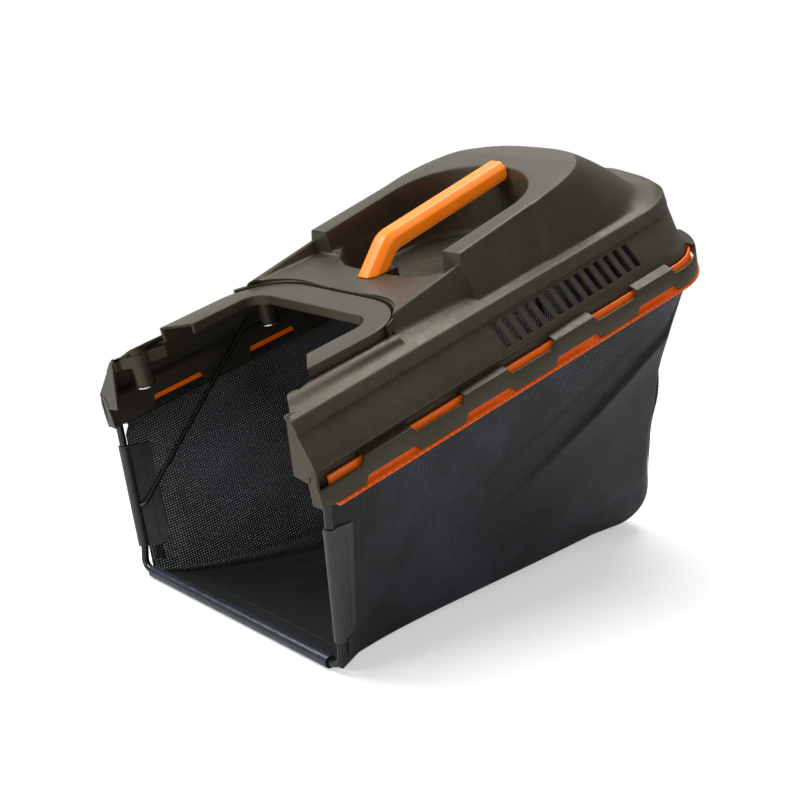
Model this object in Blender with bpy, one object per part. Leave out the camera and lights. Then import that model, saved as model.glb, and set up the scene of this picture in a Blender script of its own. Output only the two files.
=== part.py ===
"""Grass catcher of a walk-behind mower: moulded cover, bent tube mouth frame and mesh bag.

The cover is laid out in its own frame: x across, u along its rim towards the rear,
w square to the rim. The catcher rests on the ground with that rim rising to the rear
by COVER_TILT, so cover_to_world turns every cover point into a world point.
All sizes are metres.
"""
import math

import bmesh
import bpy
import numpy as np
from mathutils import Vector

# Posture of the cover
COVER_TILT = math.radians(16.0)

# General walls and clearances
WALL = 0.003
FIT_GAP = 0.0004
MESH_THICKNESS = 0.0014
FLOOR_THICKNESS = 0.0016

# Cover: crease line between deck and side wall
FRONT_U = 0.031
CREASE_HEIGHT = 0.273
CREASE_FRONT_X = 0.173
CREASE_REAR_X = 0.147
CREASE_CORNER = 0.105
REAR_U = 0.703
FRONT_LEAN = 0.19
LEAN_REACH = 0.055
LEAN_FADE = 0.030

# Cover: sloping side wall, skirt and castellated band
WALL_SPREAD_SIDE = 0.034
WALL_SPREAD_REAR = 0.001
SLOPE_FOOT_HEIGHT = 0.228
PANEL_TOP_DROP = 0.012
PANEL_RECESS = 0.002
SKIRT_TOP_HEIGHT = 0.221
SKIRT_FOOT_LOW = 0.188
SKIRT_FOOT_HIGH = 0.200
BAND_FRONT_X = 0.206
BAND_REAR_X = 0.197
BAND_CORNER_X = 0.155
BAND_CORNER_U = 0.114
BAND_REAR_U = 0.7045
BAND_HEIGHT = 0.021
BAND_LOW_FOOT = 0.1875
BAND_RISE = 0.008
TOOTH_PITCH = 0.0715
TOOTH_FIRST_U = 0.080
TOOTH_SLANT = 0.006
CHANNEL_WIDTH = 0.012
ROOF_INSET = 0.0010

# Cover: deck, notch, handle plate and horseshoe hump
DECK_BEVEL_RUN = 0.012
DECK_BEVEL_RISE = 0.005
DECK_HEIGHT = 0.287
DECK_FOOT_X = 0.147
PLATE_FRONT_U = 0.203
PLATE_HALF_WIDTH = 0.131
PLATE_HEIGHT = 0.303
PLATE_DISH = 0.004
LIP_SLOPE = 0.135
LIP_WIDTH = 0.006
BOWL_FRONT_U = 0.303
BOWL_FLOOR_HEIGHT = 0.266
BOWL_DRAFT = 0.009
HUMP_FRONT_U = 0.317
RIDGE_FRONT_HEIGHT = 0.330
RIDGE_SLOPE = 0.100
RIDGE_REAR_U = 0.545
RIDGE_WIDTH = 0.025
HUMP_SQUARENESS = 2.8
BOWL_HALF_WIDTH = 0.103
BOWL_ROUND_U = 0.430
BOWL_ROUND_LENGTH = 0.087
HUMP_TOP_REAR_U = 0.580
HUMP_REAR_FOOT_U = 0.674
HUMP_FOOT_X = 0.143
NOTCH_HALF_WIDTH = 0.106
NOTCH_REAR_U = 0.204
NOTCH_CORNER = 0.026
RIM_FRONT_U = 0.112
RIM_OUTER_FRONT_U = 0.087
RIM_OUTER_X = 0.1383
RIM_REAR_U = 0.243
RIM_CORNER_X = 0.078
RIM_CORNER_U = 0.072
RIM_TOP_HEIGHT = 0.298
RIM_DROP = 0.012
GROOVE_WIDTH = 0.003
NOTCH_MOUTH_X = 0.163

# Cover: vents
VENT_COUNT = 14
VENT_FIRST_U = 0.306
VENT_PITCH = 0.0177
VENT_WIDTH = 0.0055
VENT_TOP_HEIGHT = 0.258
VENT_FOOT_HEIGHT = 0.233

# Bosses under the cover
BOSS_RADIUS = 0.011
BOSS_HOLE_RADIUS = 0.0022
BOSS_X = 0.156
BOSS_FRONT_U = 0.059
BOSS_REAR_U = 0.243
BOSS_FOOT_HEIGHT = 0.237
BOSS_NAMES = ("front_right", "front_left", "rear_right", "rear_left")
WASHER_RADIUS = 0.0125
WASHER_THICKNESS = 0.0014
SCREW_RADIUS = 0.0019
SCREW_HEAD_RADIUS = 0.0045
SCREW_HEAD_HEIGHT = 0.0026
SCREW_LENGTH = 0.012

# Orange clamping frame under the cover's rim
CLAMP_THICKNESS = 0.0025
CLAMP_TOP_HEIGHT = 0.2145
CLAMP_FOOT_HEIGHT = 0.1835
CLAMP_LIP_THICKNESS = 0.003
CLAMP_LIP_PROUD = 0.001
CLAMP_SKIRT_GAP = 0.0022
CLAMP_START = 0.009

# Carrying handle
HANDLE_WIDTH = 0.028
HANDLE_DEPTH = 0.023
HANDLE_CHAMFER = 0.008
HANDLE_FOOT_U = 0.285
HANDLE_BEND_U = 0.320
HANDLE_BEND_HEIGHT = 0.338
HANDLE_REAR_HEIGHT = 0.3575
PEDESTAL_HALF = 0.017
PEDESTAL_RISE = 0.0005
HANDLE_SCREW_U = 0.3105
HANDLE_SCREW_SEAT = 0.2900
HANDLE_REAR_SCREW_HEIGHT = 0.3410

# Mouth frame and its sleeves; heights are above the ground
TUBE_RADIUS = 0.0045
BAR_HALF_WIDTH = 0.190
UPRIGHT_TOP_X = 0.199
UPRIGHT_LEAN = 0.025
UPRIGHT_FOOT_HEIGHT = 0.030
UPRIGHT_TOP_HEIGHT = 0.206
CORNER_RADIUS = 0.024
SLEEVE_WALL = 0.0022
BAR_SLEEVE_HALF = 0.160
UPRIGHT_SLEEVE_FOOT = 0.036
UPRIGHT_SLEEVE_TOP = 0.162
FLAP_WIDTH = 0.032
FLAP_THICKNESS = 0.0012
FLAP_CORNER = 0.014

# Braces
ROD_RADIUS = 0.0025
BRACE_TOP = (0.172, 0.226, 0.248)
BRACE_FOOT_HEIGHT = 0.086
SOCKET_RADIUS = 0.0055
SOCKET_LENGTH = 0.014

# Bag
BAG_FOOT_X = 0.110
BAG_FOOT_TAPER = 0.075
BAG_FLARE = 0.034
BAG_FLARE_REACH = 0.070
BAG_FOOT_CORNER = 0.045
BAG_FOOT_REAR_Y = 0.6015
BAG_ROUND_SIDE = 0.008
BAG_ROUND_REAR = 0.058
BAG_CLAMPED_TOP = 0.198
BAG_WAIST = 0.42
FLAT_PLACE = 0.070
SEAM_STEP = 6
SEAM_GAP = 0.0003
FLOOR_SEAM = 0.0009
FOOT_HEM = 0.002
FOLD_DEPTH = 0.006
FLOOR_LEVEL_Y = 0.050
WEBBING_START = 0.012
WEBBING_END = 0.0324
WEBBING_HEIGHT = 0.0176

COVER_COLOUR = (0.060, 0.055, 0.042, 1.0)
ORANGE = (0.90, 0.19, 0.02, 1.0)
BLACK = (0.012, 0.012, 0.015, 1.0)
STEEL = (0.55, 0.55, 0.55, 1.0)


def cover_to_world(points):
    """Turn cover points (x, u, w) by the cover's tilt and move them onto the world origin."""
    points = np.asarray(points, float)
    cosine, sine = math.cos(COVER_TILT), math.sin(COVER_TILT)
    x, u, w = points[..., 0], points[..., 1], points[..., 2]
    return np.stack([x, u * cosine - w * sine - y_centre(), u * sine + w * cosine], -1)


def y_centre():
    """Middle of the catcher's length before it is moved to the origin."""
    cosine, sine = math.cos(COVER_TILT), math.sin(COVER_TILT)
    front = FRONT_U * cosine - (CREASE_HEIGHT + DECK_BEVEL_RISE) * sine
    rear = (BAND_REAR_U + CLAMP_LIP_PROUD) * cosine - CLAMP_FOOT_HEIGHT * sine
    return (front + rear) / 2


def ground_to_world(points):
    """Move points measured from the mouth's foot along the ground onto the world origin."""
    return np.asarray(points, float) - np.array([0.0, y_centre(), 0.0])


def material(name, colour, roughness, metallic=0.0):
    """Principled material of one piece."""
    result = bpy.data.materials.new(name)
    result.use_nodes = True
    shader = result.node_tree.nodes["Principled BSDF"]
    shader.inputs["Base Color"].default_value = colour
    shader.inputs["Roughness"].default_value = roughness
    shader.inputs["Metallic"].default_value = metallic
    result.diffuse_color = colour
    return result


def mesh_object(name, vertices, faces, look=None):
    """Make one object from vertices and faces, with doubles merged and faces outward."""
    mesh = bpy.data.meshes.new(name)
    mesh.from_pydata([tuple(map(float, v)) for v in vertices], [], faces)
    form = bmesh.new()
    form.from_mesh(mesh)
    bmesh.ops.remove_doubles(form, verts=form.verts, dist=0.00002)
    bmesh.ops.dissolve_degenerate(form, edges=form.edges, dist=0.00001)
    bmesh.ops.recalc_face_normals(form, faces=form.faces)
    form.to_mesh(mesh)
    form.free()
    piece = bpy.data.objects.new(name, mesh)
    bpy.context.scene.collection.objects.link(piece)
    if look is not None:
        mesh.materials.append(look)
    return piece


def grid_faces(rows, columns, offset=0, closed=False):
    """Quads of a grid whose vertices run row by row."""
    faces = []
    across = columns if closed else columns - 1
    for i in range(rows - 1):
        for j in range(across):
            k = (j + 1) % columns
            a = offset + i * columns
            b = a + columns
            faces.append((a + j, a + k, b + k, b + j))
    return faces


def loft(name, sections, look=None, loop=False):
    """Closed solid through a row of closed sections, capped at both ends unless it loops."""
    sections = np.asarray(sections, float)
    rows, columns = sections.shape[:2]
    vertices = sections.reshape(-1, 3)
    faces = grid_faces(rows, columns, closed=True)
    if loop:
        last = (rows - 1) * columns
        faces += [(last + j, last + (j + 1) % columns, (j + 1) % columns, j) for j in range(columns)]
    else:
        faces.append(tuple(range(columns)))
        faces.append(tuple(range((rows - 1) * columns, rows * columns)))
    return mesh_object(name, vertices, faces, look)


def prism(name, outline_points, low, high, look=None):
    """Cover solid of a plan outline (x, u) between two heights."""
    low_ring = [(x, u, low) for x, u in outline_points]
    high_ring = [(x, u, high) for x, u in outline_points]
    return loft(name, [cover_to_world(low_ring), cover_to_world(high_ring)], look)


def tube(name, path, radius, sides=10, look=None):
    """Round bar along a path of world points."""
    path = [Vector(p) for p in path]
    normal = None
    rings = []
    for i, point in enumerate(path):
        ahead = path[min(i + 1, len(path) - 1)] - path[max(i - 1, 0)]
        ahead.normalize()
        if normal is None:
            normal = ahead.orthogonal()
        normal = (normal - ahead * normal.dot(ahead)).normalized()
        side = ahead.cross(normal)
        rings.append([point + radius * (math.cos(a) * normal + math.sin(a) * side)
                      for a in np.linspace(0, 2 * math.pi, sides, endpoint=False)])
    return loft(name, [[tuple(v) for v in ring] for ring in rings], look)


def cylinder(name, centre, axis, radius, length, sides=16, look=None):
    """Round bar of one length from a centre point along an axis."""
    start = Vector(centre)
    return tube(name, [start, start + Vector(axis).normalized() * length], radius, sides, look)


def combine(piece, tool, operation):
    """Apply a Boolean of tool to piece and remove the tool."""
    step = piece.modifiers.new(operation.title(), "BOOLEAN")
    step.operation = operation
    step.solver = "EXACT"
    step.object = tool
    bpy.context.view_layer.update()
    evaluated = piece.evaluated_get(bpy.context.evaluated_depsgraph_get())
    result = bpy.data.meshes.new_from_object(evaluated)
    piece.modifiers.clear()
    piece.data = result
    bpy.data.objects.remove(tool)


def finish(piece, name, look):
    """Name a piece and give it its material."""
    piece.name = name
    piece.data.materials.clear()
    piece.data.materials.append(look)
    return piece


def ellipse_x(half_width, length, along):
    """Half width of an ellipse at a distance along it, and 0 past its end."""
    return half_width * math.sqrt(max(0.0, 1.0 - (along / length) ** 2))


# Plan outlines. Each runs from the front of the +x side to the middle of the rear,
# with the same row parameters, so that rows of different outlines lie abreast.

CORNER_ROWS = 12


def outline(rows, front, rear_x, corner_x, corner_u, rear_u):
    """Points (x, u) for row parameters: 0 to 1 side, 1 to 2 corner, 2 to 3 rear."""
    front_x, front_u = front
    corner_start = rear_u - corner_u
    points = []
    for t in rows:
        if t <= 1.0:
            points.append((front_x + (rear_x - front_x) * t, front_u + (corner_start - front_u) * t))
        elif t <= 2.0:
            cosine, sine = corner_turn(t)
            points.append((rear_x - corner_x * (1 - cosine), corner_start + corner_u * sine))
        else:
            points.append(((rear_x - corner_x) * (3.0 - t), rear_u))
    return np.array(points)


def corner_turn(t):
    """Cosine and sine round a corner, straight between its CORNER_ROWS steps."""
    place = (t - 1.0) * CORNER_ROWS
    step = min(int(place + 1e-9), CORNER_ROWS - 1)
    turns = np.array([step, step + 1]) * (math.pi / 2 / CORNER_ROWS)
    share = place - step
    return ((1 - share) * np.cos(turns[0]) + share * np.cos(turns[1]),
            (1 - share) * np.sin(turns[0]) + share * np.sin(turns[1]))


def crease_outline(rows):
    """Line between deck and side wall."""
    return outline(rows, (CREASE_FRONT_X, FRONT_U), CREASE_REAR_X, CREASE_CORNER, CREASE_CORNER, REAR_U)


def band_outline(rows, inset=0.0):
    """Outer face of the castellated band, moved in by inset."""
    return outline(rows, (BAND_FRONT_X - inset, FRONT_U), BAND_REAR_X - inset,
                   BAND_CORNER_X - inset, BAND_CORNER_U - inset, BAND_REAR_U - inset)


def crease_x(u):
    """Half width of the crease line on its straight side."""
    share = (u - FRONT_U) / (REAR_U - CREASE_CORNER - FRONT_U)
    return CREASE_FRONT_X + (CREASE_REAR_X - CREASE_FRONT_X) * share


def side_parameter(u):
    """Row parameter of a place on the straight side."""
    return (u - FRONT_U) / (REAR_U - CREASE_CORNER - FRONT_U)


def front_shift(t, height):
    """How far the front edge leans forward below the crease, fading along the first rows."""
    return FRONT_LEAN * min(CREASE_HEIGHT - height, LEAN_REACH) * front_row(t)


def ridge_height(u):
    """Height of the horseshoe ridge, level behind its highest place."""
    return RIDGE_FRONT_HEIGHT + RIDGE_SLOPE * (min(u, RIDGE_REAR_U) - HUMP_FRONT_U)


def deck_height(u):
    """Height of the deck around the hump, falling to the bevel at the rear."""
    fall = max(0.0, u - HUMP_REAR_FOOT_U + 0.1) / 0.1
    return DECK_HEIGHT - 0.004 * min(1.0, fall)


def oval(x, along, half_width, length):
    """1 on a squarish oval round the bowl's turn, less inside and more outside."""
    power = HUMP_SQUARENESS
    return (abs(x / half_width) ** power + abs(along / length) ** power) ** (1 / power)


def oval_x(half_width, length, along):
    """Half width of that oval at a distance behind the bowl's turn, and 0 past its end."""
    rest = max(0.0, 1.0 - abs(along / length) ** HUMP_SQUARENESS)
    return half_width * rest ** (1 / HUMP_SQUARENESS)


def hump_height(x, u):
    """Height of the hump's outer slope behind the bowl."""
    along = u - BOWL_ROUND_U
    inner = oval(x, along, BOWL_HALF_WIDTH + RIDGE_WIDTH, HUMP_TOP_REAR_U - BOWL_ROUND_U)
    outer = oval(x, along, HUMP_FOOT_X, HUMP_REAR_FOOT_U - BOWL_ROUND_U)
    if inner <= 1.0:
        return ridge_height(u)
    if outer >= 1.0:
        return deck_height(u)
    share = (inner - 1.0) / ((inner - 1.0) + (1.0 - outer))
    drop = 0.75 * share ** 1.3 + 0.25 * share ** 4
    return ridge_height(u) + (deck_height(u) - ridge_height(u)) * drop


def deck_section(u, half_width):
    """Half section of the top skin at one place: points (x, w) from the crease to the middle."""
    bevel = (half_width - min(DECK_BEVEL_RUN, 0.4 * half_width), CREASE_HEIGHT + DECK_BEVEL_RISE)
    points = [(half_width, CREASE_HEIGHT), bevel]
    foot_x = min(DECK_FOOT_X, bevel[0] - 0.002)
    foot_w = min(DECK_HEIGHT, bevel[1] + 0.8 * (bevel[0] - foot_x) + 0.003)
    lip = PLATE_HEIGHT + LIP_SLOPE * (u - PLATE_FRONT_U)
    if u < PLATE_FRONT_U:
        inner = [(foot_x, foot_w)]
        inner += [(PLATE_HALF_WIDTH * f, DECK_HEIGHT) for f in (1.04, 1.0, 0.95, 0.6, 0.3, 0.0)]
    elif u < HUMP_FRONT_U:
        floor = BOWL_FLOOR_HEIGHT if u > BOWL_FRONT_U else PLATE_HEIGHT - PLATE_DISH
        bowl_x = 0.060 + 0.026 * max(0.0, (u - BOWL_FRONT_U) / (HUMP_FRONT_U - BOWL_FRONT_U))
        drop = BOWL_DRAFT if u > BOWL_FRONT_U else 0.003
        inner = [(foot_x, foot_w), (PLATE_HALF_WIDTH, lip), (PLATE_HALF_WIDTH - LIP_WIDTH, lip),
                 (PLATE_HALF_WIDTH - 1.6 * LIP_WIDTH, PLATE_HEIGHT),
                 (bowl_x, PLATE_HEIGHT - 0.5 * PLATE_DISH),
                 (bowl_x - drop, floor), (0.0, floor)]
    elif u <= BOWL_ROUND_U:
        outer = BOWL_HALF_WIDTH + RIDGE_WIDTH + 0.003 * (BOWL_ROUND_U - u) / (BOWL_ROUND_U - HUMP_FRONT_U)
        opening = min(1.0, 0.86 + 0.14 * (u - HUMP_FRONT_U) / 0.018)
        top = ridge_height(u)
        inner = [(foot_x, foot_w), (outer, top), (BOWL_HALF_WIDTH, top),
                 (BOWL_HALF_WIDTH - 0.003, PLATE_HEIGHT + 0.002),
                 (BOWL_HALF_WIDTH * opening - 0.004, PLATE_HEIGHT - 0.002),
                 (BOWL_HALF_WIDTH * opening - BOWL_DRAFT, BOWL_FLOOR_HEIGHT), (0.0, BOWL_FLOOR_HEIGHT)]
    elif u <= BOWL_ROUND_U + BOWL_ROUND_LENGTH:
        inner = rounded_bowl_section(u, foot_x)
    else:
        inner = rear_hump_section(u, foot_x)
    return points + inner


def rear_hump_section(u, foot_x):
    """Points from the hump's foot to the middle behind the bowl."""
    along = u - BOWL_ROUND_U
    foot = min(foot_x, max(0.45 * foot_x, oval_x(HUMP_FOOT_X, HUMP_REAR_FOOT_U - BOWL_ROUND_U, along)))
    edge = oval_x(BOWL_HALF_WIDTH + RIDGE_WIDTH, HUMP_TOP_REAR_U - BOWL_ROUND_U, along)
    edge = min(0.92 * foot, max(0.66 * foot, edge))
    places = [foot] + [edge * f for f in (1.0, 0.8, 0.6, 0.4, 0.2, 0.0)]
    return [(x, hump_height(x, u)) for x in places]


def rounded_bowl_section(u, foot_x):
    """Points from the hump's foot to the middle where the bowl's rear wall turns round."""
    along = u - BOWL_ROUND_U
    top = ridge_height(u)
    outer = oval_x(BOWL_HALF_WIDTH + RIDGE_WIDTH, HUMP_TOP_REAR_U - BOWL_ROUND_U, along)
    top_x = ellipse_x(BOWL_HALF_WIDTH, BOWL_ROUND_LENGTH, along)
    floor_length = BOWL_ROUND_LENGTH - BOWL_DRAFT
    floor_x = ellipse_x(BOWL_HALF_WIDTH - BOWL_DRAFT, floor_length, along)
    climb = max(0.0, along - floor_length) / BOWL_DRAFT
    floor = BOWL_FLOOR_HEIGHT + (top - BOWL_FLOOR_HEIGHT) * climb
    middle = (top + floor) / 2
    return [(foot_x, hump_height(foot_x, u)), (outer, top), (top_x, top),
            ((2 * top_x + floor_x) / 3, (top + middle) / 2),
            ((top_x + 2 * floor_x) / 3, (middle + floor) / 2),
            (floor_x, floor), (0.0, floor)]


def deck_rows():
    """Row places of the top skin: values of u on the straight side, then corner parameters."""
    step = 0.0012
    places = [FRONT_U, 0.060, 0.090, 0.130, 0.170, PLATE_FRONT_U - step, PLATE_FRONT_U]
    places += [0.236, 0.270, BOWL_FRONT_U - step, BOWL_FRONT_U + 0.004, HUMP_FRONT_U - step, HUMP_FRONT_U]
    places += [0.326, 0.336, 0.367, 0.398, BOWL_ROUND_U]
    turn = np.radians([15, 30, 45, 58, 69, 79, 90])
    places += [BOWL_ROUND_U + BOWL_ROUND_LENGTH * math.sin(a) for a in turn]
    places += [0.532, 0.548, 0.566]
    rows = [side_parameter(u) for u in places]
    rows += list(np.linspace(1.0, 2.0, CORNER_ROWS + 1))
    return rows


def tooth_is_high(distance, half_length):
    """Share 0 to 1 by which the band is raised at a distance along the rim from its front."""
    first = TOOTH_FIRST_U - FRONT_U
    count = int((half_length - first - 0.5 * TOOTH_PITCH) / TOOTH_PITCH)
    level = 0.0
    for index in range(count + 1):
        edge = first + index * TOOTH_PITCH
        share = min(1.0, max(0.0, (distance - edge) / TOOTH_SLANT + 0.5))
        level += share if index % 2 == 0 else -share
    return level


def rim_stations():
    """Row parameters and raised shares along half the rim, with a row at each tooth's slant."""
    fine = np.concatenate([np.linspace(0, 1, 4001), np.linspace(1, 2, 1001)[1:],
                           np.linspace(2, 3, 401)[1:]])
    line = band_outline(fine)
    length = np.concatenate([[0.0], np.cumsum(np.hypot(*np.diff(line, axis=0).T))])
    half = length[-1]
    marks = {0.0, half}
    edge = TOOTH_FIRST_U - FRONT_U
    while edge < half - 0.5 * TOOTH_PITCH:
        marks.update((edge - TOOTH_SLANT / 2, edge + TOOTH_SLANT / 2))
        edge += TOOTH_PITCH
    marks.update(np.interp(np.linspace(1.0, 2.0, CORNER_ROWS + 1), fine, length))
    ordered = sorted(marks)
    kept = [ordered[0]]
    for mark in ordered[1:]:
        if mark - kept[-1] > 0.001:
            kept.append(mark)
    kept[-1] = half
    rows = np.interp(kept, length, fine)
    return rows, np.array([tooth_is_high(d, half) for d in kept])


def mirrored(half):
    """Rows of the whole rim from rows of its +x half, whose last row is the middle."""
    half = np.asarray(half)
    other = half[-2::-1].copy()
    other[..., 0] *= -1
    return np.concatenate([half, other])


def build_skin():
    """Top skin and side wall as one open surface, given its wall thickness."""
    rows = deck_rows()
    crease = crease_outline(rows)
    skirt = band_outline(rows, CHANNEL_WIDTH)
    vertices = []
    for (half_width, u) in crease:
        half = [(x, u, w) for x, w in deck_section(u, half_width)]
        vertices.append(half + [(-x, y, z) for x, y, z in half[-2::-1]])
    vertices = np.array(vertices)
    count, across = vertices.shape[:2]
    faces = grid_faces(count, across)
    flat = [tuple(v) for v in vertices.reshape(-1, 3)]
    right = [i * across for i in range(count)]
    rear = [(count - 1) * across + j for j in range(1, across - 1)]
    left = [i * across + across - 1 for i in reversed(range(count))]
    rim = right + rear + left
    rear_x = np.array([flat[i][0] for i in rear])
    skirt_rear = np.stack([rear_x * skirt[-1][0] / crease[-1][0], np.full(len(rear), skirt[-1][1])], -1)
    skirt_line = np.concatenate([skirt, skirt_rear, skirt[::-1] * [-1, 1]])
    fade = [front_row(t) for t in rows] + [0.0] * len(rear) + [front_row(t) for t in reversed(rows)]
    spread = wall_spread(rows, len(rear))
    for level in range(5):
        start = len(flat)
        for k, index in enumerate(rim):
            flat.append(wall_point(flat[index], skirt_line[k], spread[k], fade[k], level))
        above = rim if level == 0 else list(range(start - len(rim), start))
        faces += [(above[k], above[k + 1], start + k + 1, start + k) for k in range(len(rim) - 1)]
    skin = mesh_object("top_cover", cover_to_world(flat), faces)
    if mean_normal_z(skin) < 0:
        skin.data.flip_normals()
    wall = skin.modifiers.new("Wall", "SOLIDIFY")
    wall.thickness = WALL
    wall.offset = -1.0
    wall.use_even_offset = True
    wall.use_quality_normals = True
    bpy.context.view_layer.update()
    skin.data = bpy.data.meshes.new_from_object(
        skin.evaluated_get(bpy.context.evaluated_depsgraph_get()))
    skin.modifiers.clear()
    return skin


def mean_normal_z(piece):
    """Area-weighted height of an open surface's normals."""
    return sum(face.normal.z * face.area for face in piece.data.polygons)


def front_row(t):
    """1 on the front edge, falling to 0 over the first rows."""
    return max(0.0, 1.0 - t / side_parameter(FRONT_U + LEAN_FADE))


def wall_spread(rows, rear_count):
    """How far the wall's foot lies outside the crease, per rim row."""
    half = []
    for t in rows:
        turn = min(1.0, max(0.0, t - 1.0))
        half.append(WALL_SPREAD_SIDE + (WALL_SPREAD_REAR - WALL_SPREAD_SIDE) * turn)
    return half + [WALL_SPREAD_REAR] * rear_count + half[::-1]


def wall_point(crease_point, skirt_point, spread, fade, level):
    """Point of the side wall below a crease point: strip foot, recess, slope foot, skirt."""
    x, u, _ = crease_point
    outward = np.array([skirt_point[0] - x, skirt_point[1] - u])
    distance = np.hypot(*outward)
    outward = outward / distance if distance > 1e-6 else np.array([0.0, 1.0])
    strip = spread * PANEL_TOP_DROP / (CREASE_HEIGHT - SLOPE_FOOT_HEIGHT)
    heights = (CREASE_HEIGHT - PANEL_TOP_DROP, CREASE_HEIGHT - PANEL_TOP_DROP - 0.001,
               SLOPE_FOOT_HEIGHT, SKIRT_TOP_HEIGHT, SKIRT_FOOT_HIGH)
    offsets = (strip, strip - PANEL_RECESS * (1 - fade), spread, None, None)
    height = heights[level]
    lean = FRONT_LEAN * min(CREASE_HEIGHT - height, 0.055) * fade
    if offsets[level] is None:
        return (skirt_point[0], skirt_point[1] - lean, height)
    return (x + outward[0] * offsets[level], u + outward[1] * offsets[level] - lean, height)


def sweep_rim(name, rows, profile, look=None):
    """Closed section carried round the rim; profile(row index) gives (inset, w) pairs."""
    sections = []
    for index, t in enumerate(rows):
        ring = []
        for inset, w in profile(index):
            x, u = band_outline([t], inset)[0]
            ring.append((x, u - front_shift(t, w), w))
        sections.append(ring)
    return loft(name, cover_to_world(mirrored(sections)), look)


def build_band():
    """Castellated band, its tooth roofs and the skirt's teeth as tools to unite with the skin."""
    rows, high = rim_stations()

    def band_profile(index):
        foot = BAND_LOW_FOOT + BAND_RISE * high[index]
        top = foot + BAND_HEIGHT
        return [(0.0, foot), (0.0, top - 0.0015), (0.0015, top), (WALL, top), (WALL, foot)]

    def skirt_profile(index):
        foot = SKIRT_FOOT_LOW + (SKIRT_FOOT_HIGH + 0.0007 - SKIRT_FOOT_LOW) * high[index]
        near, far = CHANNEL_WIDTH + 0.0006, CHANNEL_WIDTH + WALL - 0.0006
        top = SKIRT_FOOT_HIGH + 0.006
        return [(near, foot), (near, top), (far, top), (far, foot)]

    tools = [sweep_rim("band", rows, band_profile), sweep_rim("skirt_teeth", rows, skirt_profile)]
    top = BAND_LOW_FOOT + BAND_RISE + BAND_HEIGHT
    first = 0
    while first < len(rows):
        if high[first] < 0.999:
            first += 1
            continue
        last = first
        while last + 1 < len(rows) and high[last + 1] > 0.999:
            last += 1
        middle = last == len(rows) - 1
        span = rows[first:last + 1].copy()
        span[0] += ROOF_INSET
        span[-1] -= 0.0 if middle else ROOF_INSET
        tools += tooth_roof(span, top, middle)
        first = last + 1
    tools.append(front_bridge(1))
    tools.append(front_bridge(-1))
    return tools


def tooth_roof(rows, top, middle):
    """Sloping roof from one raised tooth of the band up to the wall, on both sides."""
    sections = []
    for t in rows:
        ring = []
        for inset, w in ((0.0018, top - 0.0040), (0.0018, top - 0.0010),
                         (CHANNEL_WIDTH + 0.0011, SKIRT_TOP_HEIGHT - 0.0009),
                         (CHANNEL_WIDTH + 0.0011, SKIRT_TOP_HEIGHT - 0.0036)):
            x, u = band_outline([t], inset)[0]
            ring.append((x, u, w))
        sections.append(ring)
    sections = np.array(sections)
    if middle:
        return [loft("roof", cover_to_world(mirrored(sections)))]
    other = sections * [-1, 1, 1]
    return [loft("roof", cover_to_world(sections)), loft("roof", cover_to_world(other))]


def front_bridge(side):
    """Front face of a cover arm: a leaning web from the crease down to the band."""
    line = [(NOTCH_MOUTH_X + 0.003, 0.278), (CREASE_FRONT_X - 0.001, CREASE_HEIGHT - 0.001),
            (CREASE_FRONT_X + WALL_SPREAD_SIDE - 0.002, SLOPE_FOOT_HEIGHT + 0.002),
            (BAND_FRONT_X - 0.001, 0.212), (BAND_FRONT_X - 0.001, BAND_LOW_FOOT + 0.001),
            (BAND_FRONT_X - 0.017, BAND_LOW_FOOT + 0.001), (BAND_FRONT_X - 0.015, 0.214),
            (NOTCH_MOUTH_X + 0.006, 0.217)]
    front, back = [], []
    for x, w in line:
        u = FRONT_U - FRONT_LEAN * min(CREASE_HEIGHT - w, 0.055) if w < CREASE_HEIGHT else FRONT_U
        front.append((side * x, u + 0.0002, w))
        back.append((side * x, u + WALL, w))
    return loft("front_web", [cover_to_world(front), cover_to_world(back)])


def notch_polygon(grow):
    """Plan of the mouth notch out to the rim's outer line, plus grow, round the boss tabs."""
    rows = rim_rows()
    line = outline(rows, (RIM_OUTER_X + grow, RIM_OUTER_FRONT_U), RIM_OUTER_X + grow,
                   RIM_CORNER_X, RIM_CORNER_U, RIM_REAR_U + grow)
    tab = BOSS_RADIUS + 0.0015
    half = [(NOTCH_MOUTH_X, -0.02), (NOTCH_MOUTH_X, BOSS_FRONT_U - 1.6 * tab)]
    half += [(BOSS_X - tab * math.cos(a), BOSS_FRONT_U + tab * math.sin(a))
             for a in np.radians([-50, -20, 10, 40])]
    half += [tuple(p) for p in line]
    return half + [(-x, u) for x, u in reversed(half[:-1])]


def rim_rows():
    """Row parameters of the notch rim."""
    return np.concatenate([np.linspace(0, 1, 2), np.linspace(1, 2, CORNER_ROWS + 1)[1:], [3.0]])


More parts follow.
